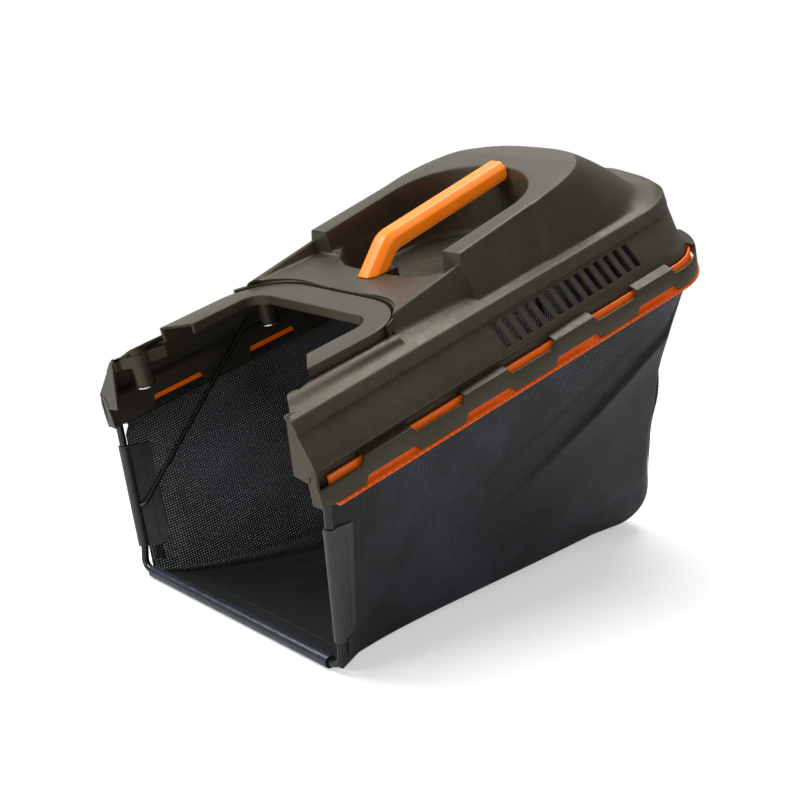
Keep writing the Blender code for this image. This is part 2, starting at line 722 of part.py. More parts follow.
def build_rim():
    """Raised flat rim round the notch with its outer foot, and the wall of the plate's front."""
    rows = rim_rows()
    outer = outline(rows, (RIM_OUTER_X, RIM_OUTER_FRONT_U), RIM_OUTER_X, RIM_CORNER_X, RIM_CORNER_U,
                    RIM_REAR_U)
    inner = outline(rows, (NOTCH_HALF_WIDTH, RIM_FRONT_U), NOTCH_HALF_WIDTH, NOTCH_CORNER, NOTCH_CORNER,
                    NOTCH_REAR_U)
    sections = []
    base = DECK_HEIGHT - 0.0005
    for (ox, ou), (ix, iu) in zip(outer, inner):
        across = np.array([ox - ix, ou - iu])
        width = np.hypot(*across)
        unit = across / width
        ring = []
        for reach, w in ((0, RIM_TOP_HEIGHT - RIM_DROP), (0, RIM_TOP_HEIGHT - 0.001),
                         (0.001, RIM_TOP_HEIGHT), (width - 0.001, RIM_TOP_HEIGHT),
                         (width, RIM_TOP_HEIGHT - 0.001), (width, base), (width + 0.005, base),
                         (width + 0.005, base - 0.002), (width - WALL, base - 0.002),
                         (width - WALL, RIM_TOP_HEIGHT - WALL), (WALL, RIM_TOP_HEIGHT - WALL),
                         (WALL, RIM_TOP_HEIGHT - RIM_DROP)):
            ring.append((ix + unit[0] * reach, iu + unit[1] * reach, w))
        sections.append(ring)
    return loft("rim", cover_to_world(mirrored(sections)))


def build_plate_wall():
    """Upright wall between the plate's front edge and the groove behind the rim."""
    rows = np.concatenate([np.linspace(1.28, 2, 8), [3.0]])
    sections = []
    for near, far in zip(plate_edge(rows, GROOVE_WIDTH), plate_edge(rows, GROOVE_WIDTH + WALL)):
        sections.append([(near[0], near[1], DECK_HEIGHT - 0.002), (far[0], far[1], DECK_HEIGHT - 0.002),
                         (far[0], far[1], PLATE_HEIGHT - 0.0028),
                         (near[0], near[1], PLATE_HEIGHT - 0.0028)])
    return loft("plate_wall", cover_to_world(mirrored(sections)))


def plate_edge(rows, reach):
    """Line behind the rim at a reach from its outer line."""
    return outline(rows, (RIM_OUTER_X + reach, RIM_FRONT_U), RIM_OUTER_X + reach,
                   RIM_CORNER_X + reach, RIM_CORNER_U + reach, RIM_REAR_U + reach)


def build_lip(side):
    """Turned-down lip along the free front edge of a cover arm."""
    line = notch_polygon(0.0)[1:7]
    line += [(RIM_OUTER_X, RIM_OUTER_FRONT_U), (NOTCH_HALF_WIDTH + 0.001, RIM_FRONT_U)]
    line[0] = (NOTCH_MOUTH_X, FRONT_U + 0.001)
    sections = []
    for i, (x, u) in enumerate(line):
        top = DECK_HEIGHT - 0.0015 if i > 5 else CREASE_HEIGHT + DECK_BEVEL_RISE - 0.0015
        sections.append([(side * x, u, 0.262), (side * (x + WALL), u + 0.001, 0.262),
                         (side * (x + WALL), u + 0.001, top), (side * x, u, top)])
    return loft("lip", cover_to_world(sections))


def boss_places():
    """The four boss axes under the cover."""
    return [(side * BOSS_X, u) for u in (BOSS_FRONT_U, BOSS_REAR_U) for side in (1, -1)]


def cover_axis():
    """World direction of the cover's w axis."""
    return Vector((0.0, -math.sin(COVER_TILT), math.cos(COVER_TILT)))


def build_boss(place):
    """Round boss from its foot up into the deck."""
    x, u = place
    foot = cover_to_world([(x, u, BOSS_FOOT_HEIGHT)])[0]
    top = CREASE_HEIGHT + DECK_BEVEL_RISE - 0.0005
    return cylinder("boss", foot, cover_axis(), BOSS_RADIUS, top - BOSS_FOOT_HEIGHT, 16)


def vent_cutter(side, index):
    """Slot through the side wall, following its slope."""
    u = VENT_FIRST_U + index * VENT_PITCH
    slope = WALL_SPREAD_SIDE / (CREASE_HEIGHT - SLOPE_FOOT_HEIGHT)
    ring = []
    for w in (VENT_TOP_HEIGHT, VENT_FOOT_HEIGHT):
        x = crease_x(u) + (CREASE_HEIGHT - w) * slope
        ring.append((x, w))
    sections = []
    for reach in (-0.012, 0.012):
        sections.append([(side * (x + reach), u + edge, w + reach * 0.8)
                         for (x, w), edges in zip(ring, ((0, VENT_WIDTH), (VENT_WIDTH, 0)))
                         for edge in edges])
    return loft("vent", cover_to_world(sections))


def build_cover(look):
    """The whole moulded cover as one solid."""
    cover = build_skin()
    combine(cover, prism("notch", notch_polygon(-0.001), 0.2665, 0.40), "DIFFERENCE")
    tools = [build_rim(), build_plate_wall(), build_pedestal(), build_lip(1), build_lip(-1)]
    tools += build_band()
    tools += [build_boss(place) for place in boss_places()]
    for tool in tools:
        combine(cover, tool, "UNION")
    for side in (1, -1):
        for index in range(VENT_COUNT):
            combine(cover, vent_cutter(side, index), "DIFFERENCE")
    for x, u in boss_places():
        foot = cover_to_world([(x, u, BOSS_FOOT_HEIGHT - 0.002)])[0]
        combine(cover, cylinder("boss_hole", foot, cover_axis(), BOSS_HOLE_RADIUS, 0.018, 12), "DIFFERENCE")
    cover.name = "top_cover"
    cover.data.materials.clear()
    cover.data.materials.append(look)
    return cover


def slab(name, grid, thickness, look=None, offset=0.0):
    """Closed sheet from a grid of points, thickened away from the grid's outer side."""
    grid = np.asarray(grid, float)
    along = np.gradient(grid, axis=0)
    across = np.gradient(grid, axis=1)
    normal = np.cross(across, along)
    normal /= np.linalg.norm(normal, axis=-1, keepdims=True)
    outer = grid + normal * offset
    inner = outer - normal * thickness
    rows, columns = grid.shape[:2]
    count = rows * columns
    faces = grid_faces(rows, columns) + [tuple(reversed(f)) for f in grid_faces(rows, columns, count)]
    for i in range(rows - 1):
        for j, turn in ((0, 1), (columns - 1, -1)):
            a, b = i * columns + j, (i + 1) * columns + j
            faces.append((a, b, b + count, a + count)[::turn])
    for j in range(columns - 1):
        for i, turn in ((0, -1), (rows - 1, 1)):
            a, b = i * columns + j, i * columns + j + 1
            faces.append((a, b, b + count, a + count)[::turn])
    vertices = np.concatenate([outer.reshape(-1, 3), inner.reshape(-1, 3)])
    return mesh_object(name, vertices, faces, look)


def bar_height():
    """Height of the bar's centre, resting on the ground in its sleeve."""
    return TUBE_RADIUS + FIT_GAP + SLEEVE_WALL


def upright_point(side, z):
    """Centre of an upright at a height above the ground."""
    share = (z - UPRIGHT_FOOT_HEIGHT) / (UPRIGHT_TOP_HEIGHT - UPRIGHT_FOOT_HEIGHT)
    x = BAR_HALF_WIDTH + (UPRIGHT_TOP_X - BAR_HALF_WIDTH) * share
    return np.array([side * x, -UPRIGHT_LEAN * share, z])


def frame_path():
    """Centre line of the bent tube, from the +x top down, across and up again."""
    half = [upright_point(1, z) for z in (UPRIGHT_TOP_HEIGHT, UPRIGHT_FOOT_HEIGHT + 0.004)]
    z = bar_height()
    foot = upright_point(1, UPRIGHT_FOOT_HEIGHT)
    for turn in np.radians([0, 22.5, 45, 67.5, 90]):
        half.append(np.array([foot[0] - CORNER_RADIUS * (1 - math.cos(turn)), 0.0,
                              z + CORNER_RADIUS * (1 - math.sin(turn))]))
    half = [half[0]] + half[2:]
    return half + [p * [-1, 1, 1] for p in reversed(half)]


def foot_x(y):
    """Half width of the bag's foot at a distance behind the mouth."""
    start = BAG_FOOT_REAR_Y - BAG_FOOT_CORNER
    return BAG_FOOT_X + BAG_FOOT_TAPER * (start - y) + BAG_FLARE * math.exp(-y / BAG_FLARE_REACH)


def mesh_inset():
    """How far the mesh's outer face lies inside the band, against the clamping flange."""
    return CHANNEL_WIDTH - FIT_GAP - MESH_THICKNESS


def foot_outline(t, inset=0.0):
    """Foot line of the bag on the ground, moved in by inset, with the rim's row parameters."""
    corner = max(BAG_FOOT_CORNER - inset, 0.006)
    start = BAG_FOOT_REAR_Y - inset - corner
    if t <= 1.0:
        front = panel_front()
        y = front + (start - front) * t
        return np.array([foot_x(y) - inset, y])
    end = foot_x(start) - inset
    if t <= 2.0:
        cosine, sine = corner_turn(t)
        return np.array([end - corner * (1 - cosine), start + corner * sine])
    return np.array([(end - corner) * (3.0 - t), BAG_FOOT_REAR_Y - inset])


def foot_radius(t):
    """Rounding of the bag's foot, growing from the mouth to the rear."""
    share = min(1.0, max(0.0, (t - 0.1) / 0.8))
    return BAG_ROUND_SIDE + (BAG_ROUND_REAR - BAG_ROUND_SIDE) * share ** 1.3


def panel_front():
    """Distance of a side panel's front edge behind the tube's centre."""
    return TUBE_RADIUS + 3 * FIT_GAP


def floor_height(y):
    """Height of the bag's foot: up at the bar, flat on the ground further back."""
    share = min(1.0, max(0.0, y / FLOOR_LEVEL_Y))
    return bar_height() * (1 - share) ** 2


def bag_point(t, v):
    """Outer surface of the bag: v from 0 under the clamping frame to 1 at the foot's rounding."""
    if t >= FLAT_PLACE:
        return loose_point(t, v)
    far = loose_point(FLAT_PLACE, v)
    centre = upright_point(1, far[2]) + [MESH_THICKNESS / 2, 0, 0]
    behind = far - centre
    start = centre + behind / np.linalg.norm(behind) * panel_front()
    loose = loose_point(0.0, v)
    start = loose + (start - loose) * min(1.0, v / 0.12)
    return start + (far - start) * t / FLAT_PLACE


def clamped_row(t):
    """Row parameter on the cover's rim of a place on the bag's clamped edge."""
    start = side_parameter(FRONT_U + CLAMP_START)
    return start + t * (1 - start) if t < 1 else t


def loose_point(t, v):
    """Outer surface of the bag without its straight front part along the sleeve."""
    row = clamped_row(t)
    x, u = band_outline([row], mesh_inset())[0]
    top = cover_to_world([x, u, CLAMP_FOOT_HEIGHT - 0.001]) + [0, y_centre(), 0]
    foot = foot_outline(t)
    base = floor_height(foot[1]) + foot_radius(t)
    pull = min(1.0, max(0.0, (t - 0.70) / 0.6)) ** 2
    early = 1 - (1 - min(1.0, v / BAG_WAIST)) ** 1.6
    share = (1 - pull) * v + pull * early
    z = top[2] + (base - top[2]) * v
    return np.array([top[0] + (foot[0] - top[0]) * share, top[1] + (foot[1] - top[1]) * share, z])


def fold(t, v):
    """Outward swell of the cloth below the two diagonal folds of a side panel."""
    swell = 0.0
    for (t0, v0), (t1, v1), size in (((1.15, 0.06), (0.45, 0.62), 1.0), ((1.30, 0.34), (1.0, 0.62), 0.7)):
        along = np.array([t1 - t0, v1 - v0])
        length = np.hypot(*along)
        away = ((v - v0) * along[0] - (t - t0) * along[1]) / length * -1
        place = ((t - t0) * along[0] + (v - v0) * along[1]) / length ** 2
        if -0.1 < place < 1.0 and 0 <= away:
            ends = math.sin(math.pi * min(1.0, max(0.0, (place + 0.1) / 1.1)))
            swell += size * ends * (away / 0.03 if away < 0.03 else math.exp(-(away - 0.03) / 0.12))
    return FOLD_DEPTH * min(1.0, swell)


def bag_column(t):
    """Points of the bag's outer surface from the clamped edge down to the rounded foot."""
    row = clamped_row(t)
    x, u = band_outline([row], mesh_inset())[0]
    clamped = [cover_to_world([x, u, w]) + [0, y_centre(), 0]
               for w in (BAG_CLAMPED_TOP, CLAMP_FOOT_HEIGHT + 0.006)]
    column = clamped
    ahead = foot_outline(min(3.0, t + 0.01)) - foot_outline(max(0.0, t - 0.01))
    out = np.array([ahead[1], -ahead[0], 0.0]) / np.hypot(*ahead)
    for v in np.concatenate([[0.0, 0.03, 0.07, 0.12], np.linspace(0.18, 1.0, 14)]):
        column.append(bag_point(t, v) + out * fold(t, v))
    radius = foot_radius(t)
    last = column[-1]
    inner = np.append(foot_outline(t, radius) - foot_outline(t), 0.0)
    for turn in np.radians([30, 60, 90]):
        column.append(last + inner * (1 - math.cos(turn)) - [0, 0, radius * math.sin(turn)])
    column.append(column[-1] + inner / np.linalg.norm(inner) * FOOT_HEM)
    return column


def seam_column(shift):
    """Column of the bag at the rear corner's seam, moved along the wall by shift."""
    place = 1.0 + SEAM_STEP / CORNER_ROWS
    ahead = foot_outline(place + 0.02) - foot_outline(place - 0.02)
    ahead = np.append(ahead, 0.0) / np.hypot(*ahead)
    return np.array(bag_column(place)) + ahead * shift


SIDE_PLACES = np.linspace(0.12, 1.0, 18)


def build_side_mesh(side, look):
    """Mesh side panel, from the upright's sleeve to the seam at the rear corner."""
    corner = 1.0 + np.arange(1, SEAM_STEP) / CORNER_ROWS
    rows = np.concatenate([[0.0, FLAT_PLACE / 2, FLAT_PLACE], SIDE_PLACES, corner])
    grid = [bag_column(t) for t in rows]
    grid = np.array(grid + [seam_column(-SEAM_GAP)])
    if side < 0:
        grid = grid[::-1] * [-1, 1, 1]
    return slab("mesh_side", ground_to_world(grid), MESH_THICKNESS, look)


def build_rear_mesh(look):
    """Mesh rear panel between the two corner seams."""
    corner = 1.0 + np.arange(SEAM_STEP + 1, CORNER_ROWS + 1) / CORNER_ROWS
    rows = np.concatenate([corner, np.linspace(2.2, 3.0, 5)])
    grid = mirrored(np.array([seam_column(SEAM_GAP)] + [bag_column(t) for t in rows]))
    return slab("mesh_rear", ground_to_world(grid), MESH_THICKNESS, look)


def build_floor(look):
    """Floor sheet from the slot of the bar's sleeve to the rear seam."""
    front = TUBE_RADIUS + 2 * FIT_GAP
    rows = []
    level = bar_height() + FLOOR_THICKNESS / 2
    edge = BAR_SLEEVE_HALF - 0.002
    for y in (front, front + SLEEVE_WALL + 0.002):
        rows.append([(edge * f, y, level) for f in np.linspace(-1, 1, 5)])
    corner = 1.0 + np.arange(1, CORNER_ROWS + 1) / CORNER_ROWS
    for t in np.concatenate([[0.03, FLAT_PLACE], SIDE_PLACES, corner]):
        x, y = foot_outline(t, foot_radius(t) + FOOT_HEM + FLOOR_SEAM)
        share = min(1.0, max(0.0, (t - 0.03) / 0.05))
        x = edge + (x - edge) * share
        z = floor_height(y) + FLOOR_THICKNESS
        rows.append([(x * f, y, z) for f in np.linspace(-1, 1, 5)])
    return slab("floor_sheet", ground_to_world(rows), FLOOR_THICKNESS, look)


def sleeve_section(inner, outer, gap, leg, reach):
    """Wrap round a tube with two legs to the rear: points (rearward, outward)."""
    near = math.asin((gap + leg) / outer)
    far = math.asin(gap / inner)
    turns = np.linspace(near, 2 * math.pi - near, 17)
    points = [(reach, gap + leg)] + [(outer * math.cos(a), outer * math.sin(a)) for a in turns]
    points += [(reach, -gap - leg), (reach, -gap)]
    turns = np.linspace(2 * math.pi - far, far, 17)
    return points + [(inner * math.cos(a), inner * math.sin(a)) for a in turns] + [(reach, gap)]


def build_upright_sleeve(side, look):
    """Folded fabric sleeve whose two flaps hold the mesh edge behind an upright."""
    gap = MESH_THICKNESS / 2 + 1.5 * FIT_GAP
    low, high = UPRIGHT_SLEEVE_FOOT, UPRIGHT_SLEEVE_TOP
    heights = [low + FLAP_CORNER * (1 - math.cos(a)) for a in np.radians([0, 25, 50, 70, 90])]
    heights += list(np.linspace(low + FLAP_CORNER, high, 9)[1:])
    sections = []
    for z in heights:
        centre = upright_point(1, z)
        behind = panel_direction(z)
        out = np.array([behind[1], -behind[0]])
        drop = max(0.0, 1 - (z - low) / FLAP_CORNER)
        reach = FLAP_WIDTH - FLAP_CORNER * (1 - math.sqrt(1 - drop * drop))
        bore = TUBE_RADIUS + FIT_GAP
        ring = sleeve_section(bore, bore + 0.0016, gap, FLAP_THICKNESS, reach)
        sections.append([(side * (centre[0] + behind[0] * p + out[0] * q),
                          centre[1] + behind[1] * p + out[1] * q, z)
                         for p, q in ring])
    return loft("sleeve", ground_to_world(sections), look)


def panel_direction(z):
    """Plan direction of a side panel's first part behind the upright at a height."""
    start = bag_edge(0.0, z)
    end = bag_edge(FLAT_PLACE, z)
    step = end[:2] - start[:2]
    return step / np.hypot(*step)


def bag_edge(t, z):
    """Middle of the mesh at a row parameter and height above the ground."""
    column = np.array([bag_point(t, v) for v in np.linspace(0.0, 1.0, 40)])
    order = np.argsort(column[:, 2])
    middle = [np.interp(z, column[order, 2], column[order, k]) for k in (0, 1)]
    return np.array([middle[0] - MESH_THICKNESS / 2, middle[1], z])


def build_bar_sleeve(look):
    """Round sleeve on the bar, slit at the rear for the floor sheet."""
    inner = TUBE_RADIUS + FIT_GAP
    slit = FLOOR_THICKNESS / 2 + FIT_GAP
    outer = inner + SLEEVE_WALL
    near, far = math.asin(slit / outer), math.asin(slit / inner)
    ring = [(outer * math.cos(a), outer * math.sin(a)) for a in np.linspace(near, 2 * math.pi - near, 21)]
    ring += [(inner * math.cos(a), inner * math.sin(a)) for a in np.linspace(2 * math.pi - far, far, 21)]
    sections = [[(x, p, bar_height() + q) for p, q in ring] for x in (-BAR_SLEEVE_HALF, BAR_SLEEVE_HALF)]
    return loft("bar_sleeve", ground_to_world(sections), look)


def build_clamp_frame(look):
    """Orange L-section strip round the rim: upright flange and outward lip."""
    rows, _ = rim_stations()
    start = clamped_row(0.0)
    rows = np.concatenate([[start], rows[rows > start + 0.01]])
    back = CHANNEL_WIDTH - CLAMP_SKIRT_GAP
    low, high = CLAMP_FOOT_HEIGHT, CLAMP_TOP_HEIGHT
    shelf = low + CLAMP_LIP_THICKNESS

    def profile(_):
        return [(-CLAMP_LIP_PROUD, low), (-CLAMP_LIP_PROUD, shelf), (back - CLAMP_THICKNESS, shelf),
                (back - CLAMP_THICKNESS, high), (back, high), (back, low)]

    sections = []
    for index, t in enumerate(rows):
        sections.append([tuple(band_outline([t], inset)[0]) + (w,) for inset, w in profile(index)])
    return loft("clamp_frame", cover_to_world(mirrored(sections)), look)


def handle_stations():
    """Outer edge points (u, w) of the carrying handle, with the step across its depth at each."""
    rear = BOWL_ROUND_U + BOWL_ROUND_LENGTH - 0.0030
    foot = np.array([HANDLE_FOOT_U, PLATE_HEIGHT - PLATE_DISH + PEDESTAL_RISE + FIT_GAP])
    bend = np.array([HANDLE_BEND_U, HANDLE_BEND_HEIGHT])
    end = np.array([rear, HANDLE_REAR_HEIGHT])
    lower = (bend - foot) / np.hypot(*(bend - foot))
    upper = (end - bend) / np.hypot(*(end - bend))
    middle = (lower + upper) / np.hypot(*(lower + upper))
    inward = np.array([middle[1], -middle[0]]) / (middle @ lower)
    return [(foot, np.array([1.0, 0.0]) / lower[1]), (bend, inward),
            (end, np.array([0.0, -1.0]) / upper[0])]


def build_handle(look):
    """Bent hexagonal carrying handle."""
    half, cut = HANDLE_WIDTH / 2, HANDLE_CHAMFER
    ring = [(-half, cut), (-half + cut, 0.0), (half - cut, 0.0), (half, cut),
            (half, HANDLE_DEPTH - cut), (half - cut, HANDLE_DEPTH), (-half + cut, HANDLE_DEPTH),
            (-half, HANDLE_DEPTH - cut)]
    sections = []
    for (u, w), step in handle_stations():
        sections.append([(x, u + step[0] * d, w + step[1] * d) for x, d in ring])
    return loft("carry_handle", cover_to_world(sections), look)


def build_pedestal():
    """Moulded block that carries the handle's foot behind the plate's edge."""
    line = [(-PEDESTAL_HALF, BOWL_FRONT_U - 0.006), (PEDESTAL_HALF, BOWL_FRONT_U - 0.006),
            (PEDESTAL_HALF, HANDLE_FOOT_U + 0.036), (-PEDESTAL_HALF, HANDLE_FOOT_U + 0.036)]
    return prism("pedestal", line, BOWL_FLOOR_HEIGHT - 0.001, PLATE_HEIGHT - PLATE_DISH + PEDESTAL_RISE)


def brace_path(side):
    """Brace rod from the cover's socket down to the upright, then out to the tube."""
    top = cover_to_world(BRACE_TOP) + [0, y_centre(), 0]
    tube_point = upright_point(1, BRACE_FOOT_HEIGHT)
    behind = panel_direction(BRACE_FOOT_HEIGHT)
    inward = np.array([-behind[1], behind[0]])
    off = MESH_THICKNESS / 2 + FIT_GAP + FLAP_THICKNESS + 2 * FIT_GAP + ROD_RADIUS + 0.001
    knee = tube_point + np.append(behind * 0.010 + inward * off, 0.004)
    to_tube = tube_point - knee
    reach = np.linalg.norm(to_tube)
    end = knee + to_tube / reach * (reach - TUBE_RADIUS - FIT_GAP - 0.0012)
    path = np.array([top, knee + (top - knee) * 0.02, knee, end])
    return path * [side, 1, 1]


def build_brace(side, look):
    """Brace rod with its bent foot."""
    return tube("brace", ground_to_world(brace_path(side)), ROD_RADIUS, 10, look)


def brace_hole(side):
    """Cutter for the sleeve where a brace's foot passes through it."""
    path = list(brace_path(side))
    path.append(path[3] + (path[3] - path[2]) * 0.3)
    return tube("brace_hole", ground_to_world(path), ROD_RADIUS + FIT_GAP, 10)


def socket_cylinder(side, radius, overshoot):
    """Round socket on the cover's inner wall, along the brace."""
    top, knee = ground_to_world(brace_path(side))[:2]
    axis = Vector(top - knee).normalized()
    start = Vector(top) - axis * (SOCKET_LENGTH - 0.004 + overshoot)
    return cylinder("socket", start, axis, radius, SOCKET_LENGTH + overshoot, 12)


def build_washers(look):
    """Steel washers under the four bosses."""
    top = BOSS_FOOT_HEIGHT - FIT_GAP
    for (x, u), place in zip(boss_places(), BOSS_NAMES):
        foot = cover_to_world([(x, u, top - WASHER_THICKNESS)])[0]
        washer = cylinder("washer", foot, cover_axis(), WASHER_RADIUS, WASHER_THICKNESS, 24)
        hole = cylinder("hole", Vector(foot) - cover_axis() * 0.001, cover_axis(), BOSS_HOLE_RADIUS,
                        WASHER_THICKNESS + 0.002, 12)
        combine(washer, hole, "DIFFERENCE")
        finish(washer, "boss_washer_" + place, look)


def screw(foot, axis, length):
    """Pan-head screw, its head's seat at the foot point."""
    shank = cylinder("screw", Vector(foot) - axis * 0.0005, axis, SCREW_RADIUS, length + 0.0005, 12)
    under = Vector(foot) - axis * SCREW_HEAD_HEIGHT
    head = cylinder("head", under, axis, SCREW_HEAD_RADIUS, SCREW_HEAD_HEIGHT, 16)
    combine(shank, head, "UNION")
    return shank


def build_boss_screws(look):
    """Screws that hold the washers to the bosses."""
    seat = BOSS_FOOT_HEIGHT - 2 * FIT_GAP - WASHER_THICKNESS
    for (x, u), place in zip(boss_places(), BOSS_NAMES):
        foot = cover_to_world([(x, u, seat)])[0]
        finish(screw(foot, cover_axis(), SCREW_LENGTH), "boss_screw_" + place, look)


def handle_screw_places():
    """Seat and direction of the two hidden handle screws: up from below, and forward from behind."""
    along = Vector((0.0, math.cos(COVER_TILT), math.sin(COVER_TILT)))
    lower = Vector(cover_to_world([(0.0, HANDLE_SCREW_U, HANDLE_SCREW_SEAT)])[0])
    behind = BOWL_ROUND_U + BOWL_ROUND_LENGTH + WALL + 2 * FIT_GAP
    rear = Vector(cover_to_world([(0.0, behind, HANDLE_REAR_SCREW_HEIGHT)])[0])
    return [(lower, cover_axis()), (rear, -along)]


def handle_screw_holes(radius, start, length):
    """Round cutters along the two handle screws."""
    return [cylinder("hole", place + axis * start, axis, radius, length, 12)
            for place, axis in handle_screw_places()]


def build_handle_screws(look):
    """Two hidden screws that hold the carrying handle."""
    for (place, axis), word in zip(handle_screw_places(), ("front", "rear")):
        finish(screw(place - axis * FIT_GAP, axis, 0.022), "handle_screw_" + word, look)


def build_webbing(side, look):
    """Stitched webbing patch on the lower front corner of a side panel."""
    rows = []
    top = UPRIGHT_SLEEVE_FOOT - 0.002
    for t in np.linspace(WEBBING_START, WEBBING_END, 3):
        column = []
        for z in np.linspace(top, top - WEBBING_HEIGHT, 5):
            middle = bag_edge(t, z)
            column.append((middle[0] + MESH_THICKNESS / 2, middle[1], z))
        rows.append(column)
    grid = np.array(rows)
    if side < 0:
        grid = grid[::-1] * [-1, 1, 1]
    return slab("webbing", ground_to_world(grid), FLAP_THICKNESS, look, FLAP_THICKNESS + 2 * FIT_GAP)


def upright_socket(side):
    """Cutter for the upright's top in the cover's front corner."""
    points = [upright_point(side, z) for z in (0.150, UPRIGHT_TOP_HEIGHT + FIT_GAP)]
    return tube("upright_socket", ground_to_world(points), TUBE_RADIUS + FIT_GAP, 16)


def main():
    """Build every piece of the catcher."""
    for old in list(bpy.data.objects):
        bpy.data.objects.remove(old)
    plastic = material("moulded_cover_plastic", COVER_COLOUR, 0.5)
    cover = build_cover(plastic)
    for side in (1, -1):
        combine(cover, socket_cylinder(side, SOCKET_RADIUS, 0.0), "UNION")
        hole = ground_to_world(brace_path(side))
        deeper = hole[0] + (hole[0] - hole[1]) * 0.003
        combine(cover, tube("hole", [deeper, hole[1]], ROD_RADIUS + FIT_GAP, 10),
                "DIFFERENCE")
        combine(cover, upright_socket(side), "DIFFERENCE")
    handle = build_handle(material("handle_plastic", ORANGE, 0.4))
    for hole in handle_screw_holes(BOSS_HOLE_RADIUS, 0.001, 0.026):
        combine(handle, hole, "DIFFERENCE")
    for hole in handle_screw_holes(BOSS_HOLE_RADIUS + 0.0001, -0.0033, 0.0147):
        combine(cover, hole, "DIFFERENCE")
    pocket = handle_screw_holes(SCREW_HEAD_RADIUS + 2 * FIT_GAP, -0.030, 0.030)
    combine(cover, pocket[0], "DIFFERENCE")
    bpy.data.objects.remove(pocket[1])
    build_handle_screws(material("handle_screw_steel", STEEL, 0.35, 1.0))
    build_clamp_frame(material("clamp_plastic", ORANGE, 0.4))
    steel = material("frame_paint", BLACK, 0.35, 0.3)
    tube("mouth_frame", ground_to_world(frame_path()), TUBE_RADIUS, 16, steel)
    for side, word in ((1, "right"), (-1, "left")):
        build_brace(side, material("brace_paint_" + word, BLACK, 0.35, 0.3)).name = "brace_" + word
        sleeve = build_upright_sleeve(side, material("sleeve_fabric_" + word, BLACK, 0.6))
        combine(sleeve, brace_hole(side), "DIFFERENCE")
        sleeve.name = "upright_sleeve_" + word
        build_side_mesh(side, material("mesh_fabric_" + word, BLACK, 0.8)).name = "mesh_side_" + word
        build_webbing(side, material("webbing_fabric_" + word, BLACK, 0.8)).name = "corner_webbing_" + word
    build_rear_mesh(material("mesh_fabric_rear", BLACK, 0.8))
    build_floor(material("floor_fabric", BLACK, 0.5))
    build_bar_sleeve(material("bar_sleeve_fabric", BLACK, 0.4))
    build_washers(material("washer_steel", STEEL, 0.3, 1.0))
    build_boss_screws(material("screw_steel", STEEL, 0.35, 1.0))


main()
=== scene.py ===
"""Looks of a walk-behind mower's grass catcher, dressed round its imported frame.

The cover is laid out in its own frame: x across, u along its rim towards the rear and
w square to the rim. The bag and the mouth frame use ground measures: x across, y behind
the mouth's bar and z above the ground. Two functions turn both into the part's frame.
Sizes are metres unless a name says millimetres.
"""
import logging
import math
from dataclasses import dataclass, field
from enum import Enum
from typing import Any, Sequence

import bmesh
import bpy
import numpy as np
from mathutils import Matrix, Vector


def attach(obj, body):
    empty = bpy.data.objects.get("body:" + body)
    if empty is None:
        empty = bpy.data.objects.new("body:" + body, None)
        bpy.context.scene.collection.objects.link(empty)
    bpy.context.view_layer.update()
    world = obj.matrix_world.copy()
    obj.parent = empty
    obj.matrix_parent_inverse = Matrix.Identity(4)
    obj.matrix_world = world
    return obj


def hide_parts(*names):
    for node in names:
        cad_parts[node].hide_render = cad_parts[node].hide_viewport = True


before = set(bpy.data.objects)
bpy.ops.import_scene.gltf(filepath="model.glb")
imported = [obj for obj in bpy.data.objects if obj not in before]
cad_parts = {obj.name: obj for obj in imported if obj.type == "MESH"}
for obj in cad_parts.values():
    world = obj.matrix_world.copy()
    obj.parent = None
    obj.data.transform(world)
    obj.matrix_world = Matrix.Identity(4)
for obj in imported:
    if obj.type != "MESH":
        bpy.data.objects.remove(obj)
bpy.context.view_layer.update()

LOG = logging.getLogger("grass_catcher")
Points = np.ndarray

TILT = math.radians(16.0)
CREASE_W = 0.273
CREASE_RISE = 0.005
FRONT_U = 0.031
FRONT_LEAN = 0.19
LEAN_REACH = 0.055
LEAN_FADE = 0.030
BAND_REAR_U = 0.7045
STRIP_FOOT_W = 0.1835
STRIP_PROUD = 0.001
STRIP_START_U = FRONT_U + 0.009
CHANNEL = 0.012
Y_CENTRE = ((FRONT_U + BAND_REAR_U + STRIP_PROUD) * math.cos(TILT)
            - (CREASE_W + CREASE_RISE + STRIP_FOOT_W) * math.sin(TILT)) / 2


def cover_to_world(points: Any) -> Points:
    """Turn cover measures (x, u, w) by the tilt: y = u cos - w sin, z = u sin + w cos.

    Args:
        points: array whose last axis is (x, u, w).

    Returns:
        The same array in the part's frame.
    """
    p = np.asarray(points, float)
    y = p[..., 1] * math.cos(TILT) - p[..., 2] * math.sin(TILT) - Y_CENTRE
    z = p[..., 1] * math.sin(TILT) + p[..., 2] * math.cos(TILT)
    return np.stack([p[..., 0], y, z], -1)


def ground_to_world(points: Any) -> Points:
    """Move ground measures (x, y, z) onto the part's origin."""
    return np.asarray(points, float) - np.array([0.0, Y_CENTRE, 0.0])


def ramp(values: Any, start: float, end: float) -> Points:
    """Smooth step from 0 at start to 1 at end: 3s^2 - 2s^3 of the clamped share s."""
    share = np.clip((np.asarray(values, float) - start) / (end - start), 0.0, 1.0)
    return share * share * (3.0 - 2.0 * share)


def unit(vectors: Points) -> Points:
    """Vectors of length one in the same directions."""
    return vectors / np.maximum(np.linalg.norm(vectors, axis=-1, keepdims=True), 1e-12)


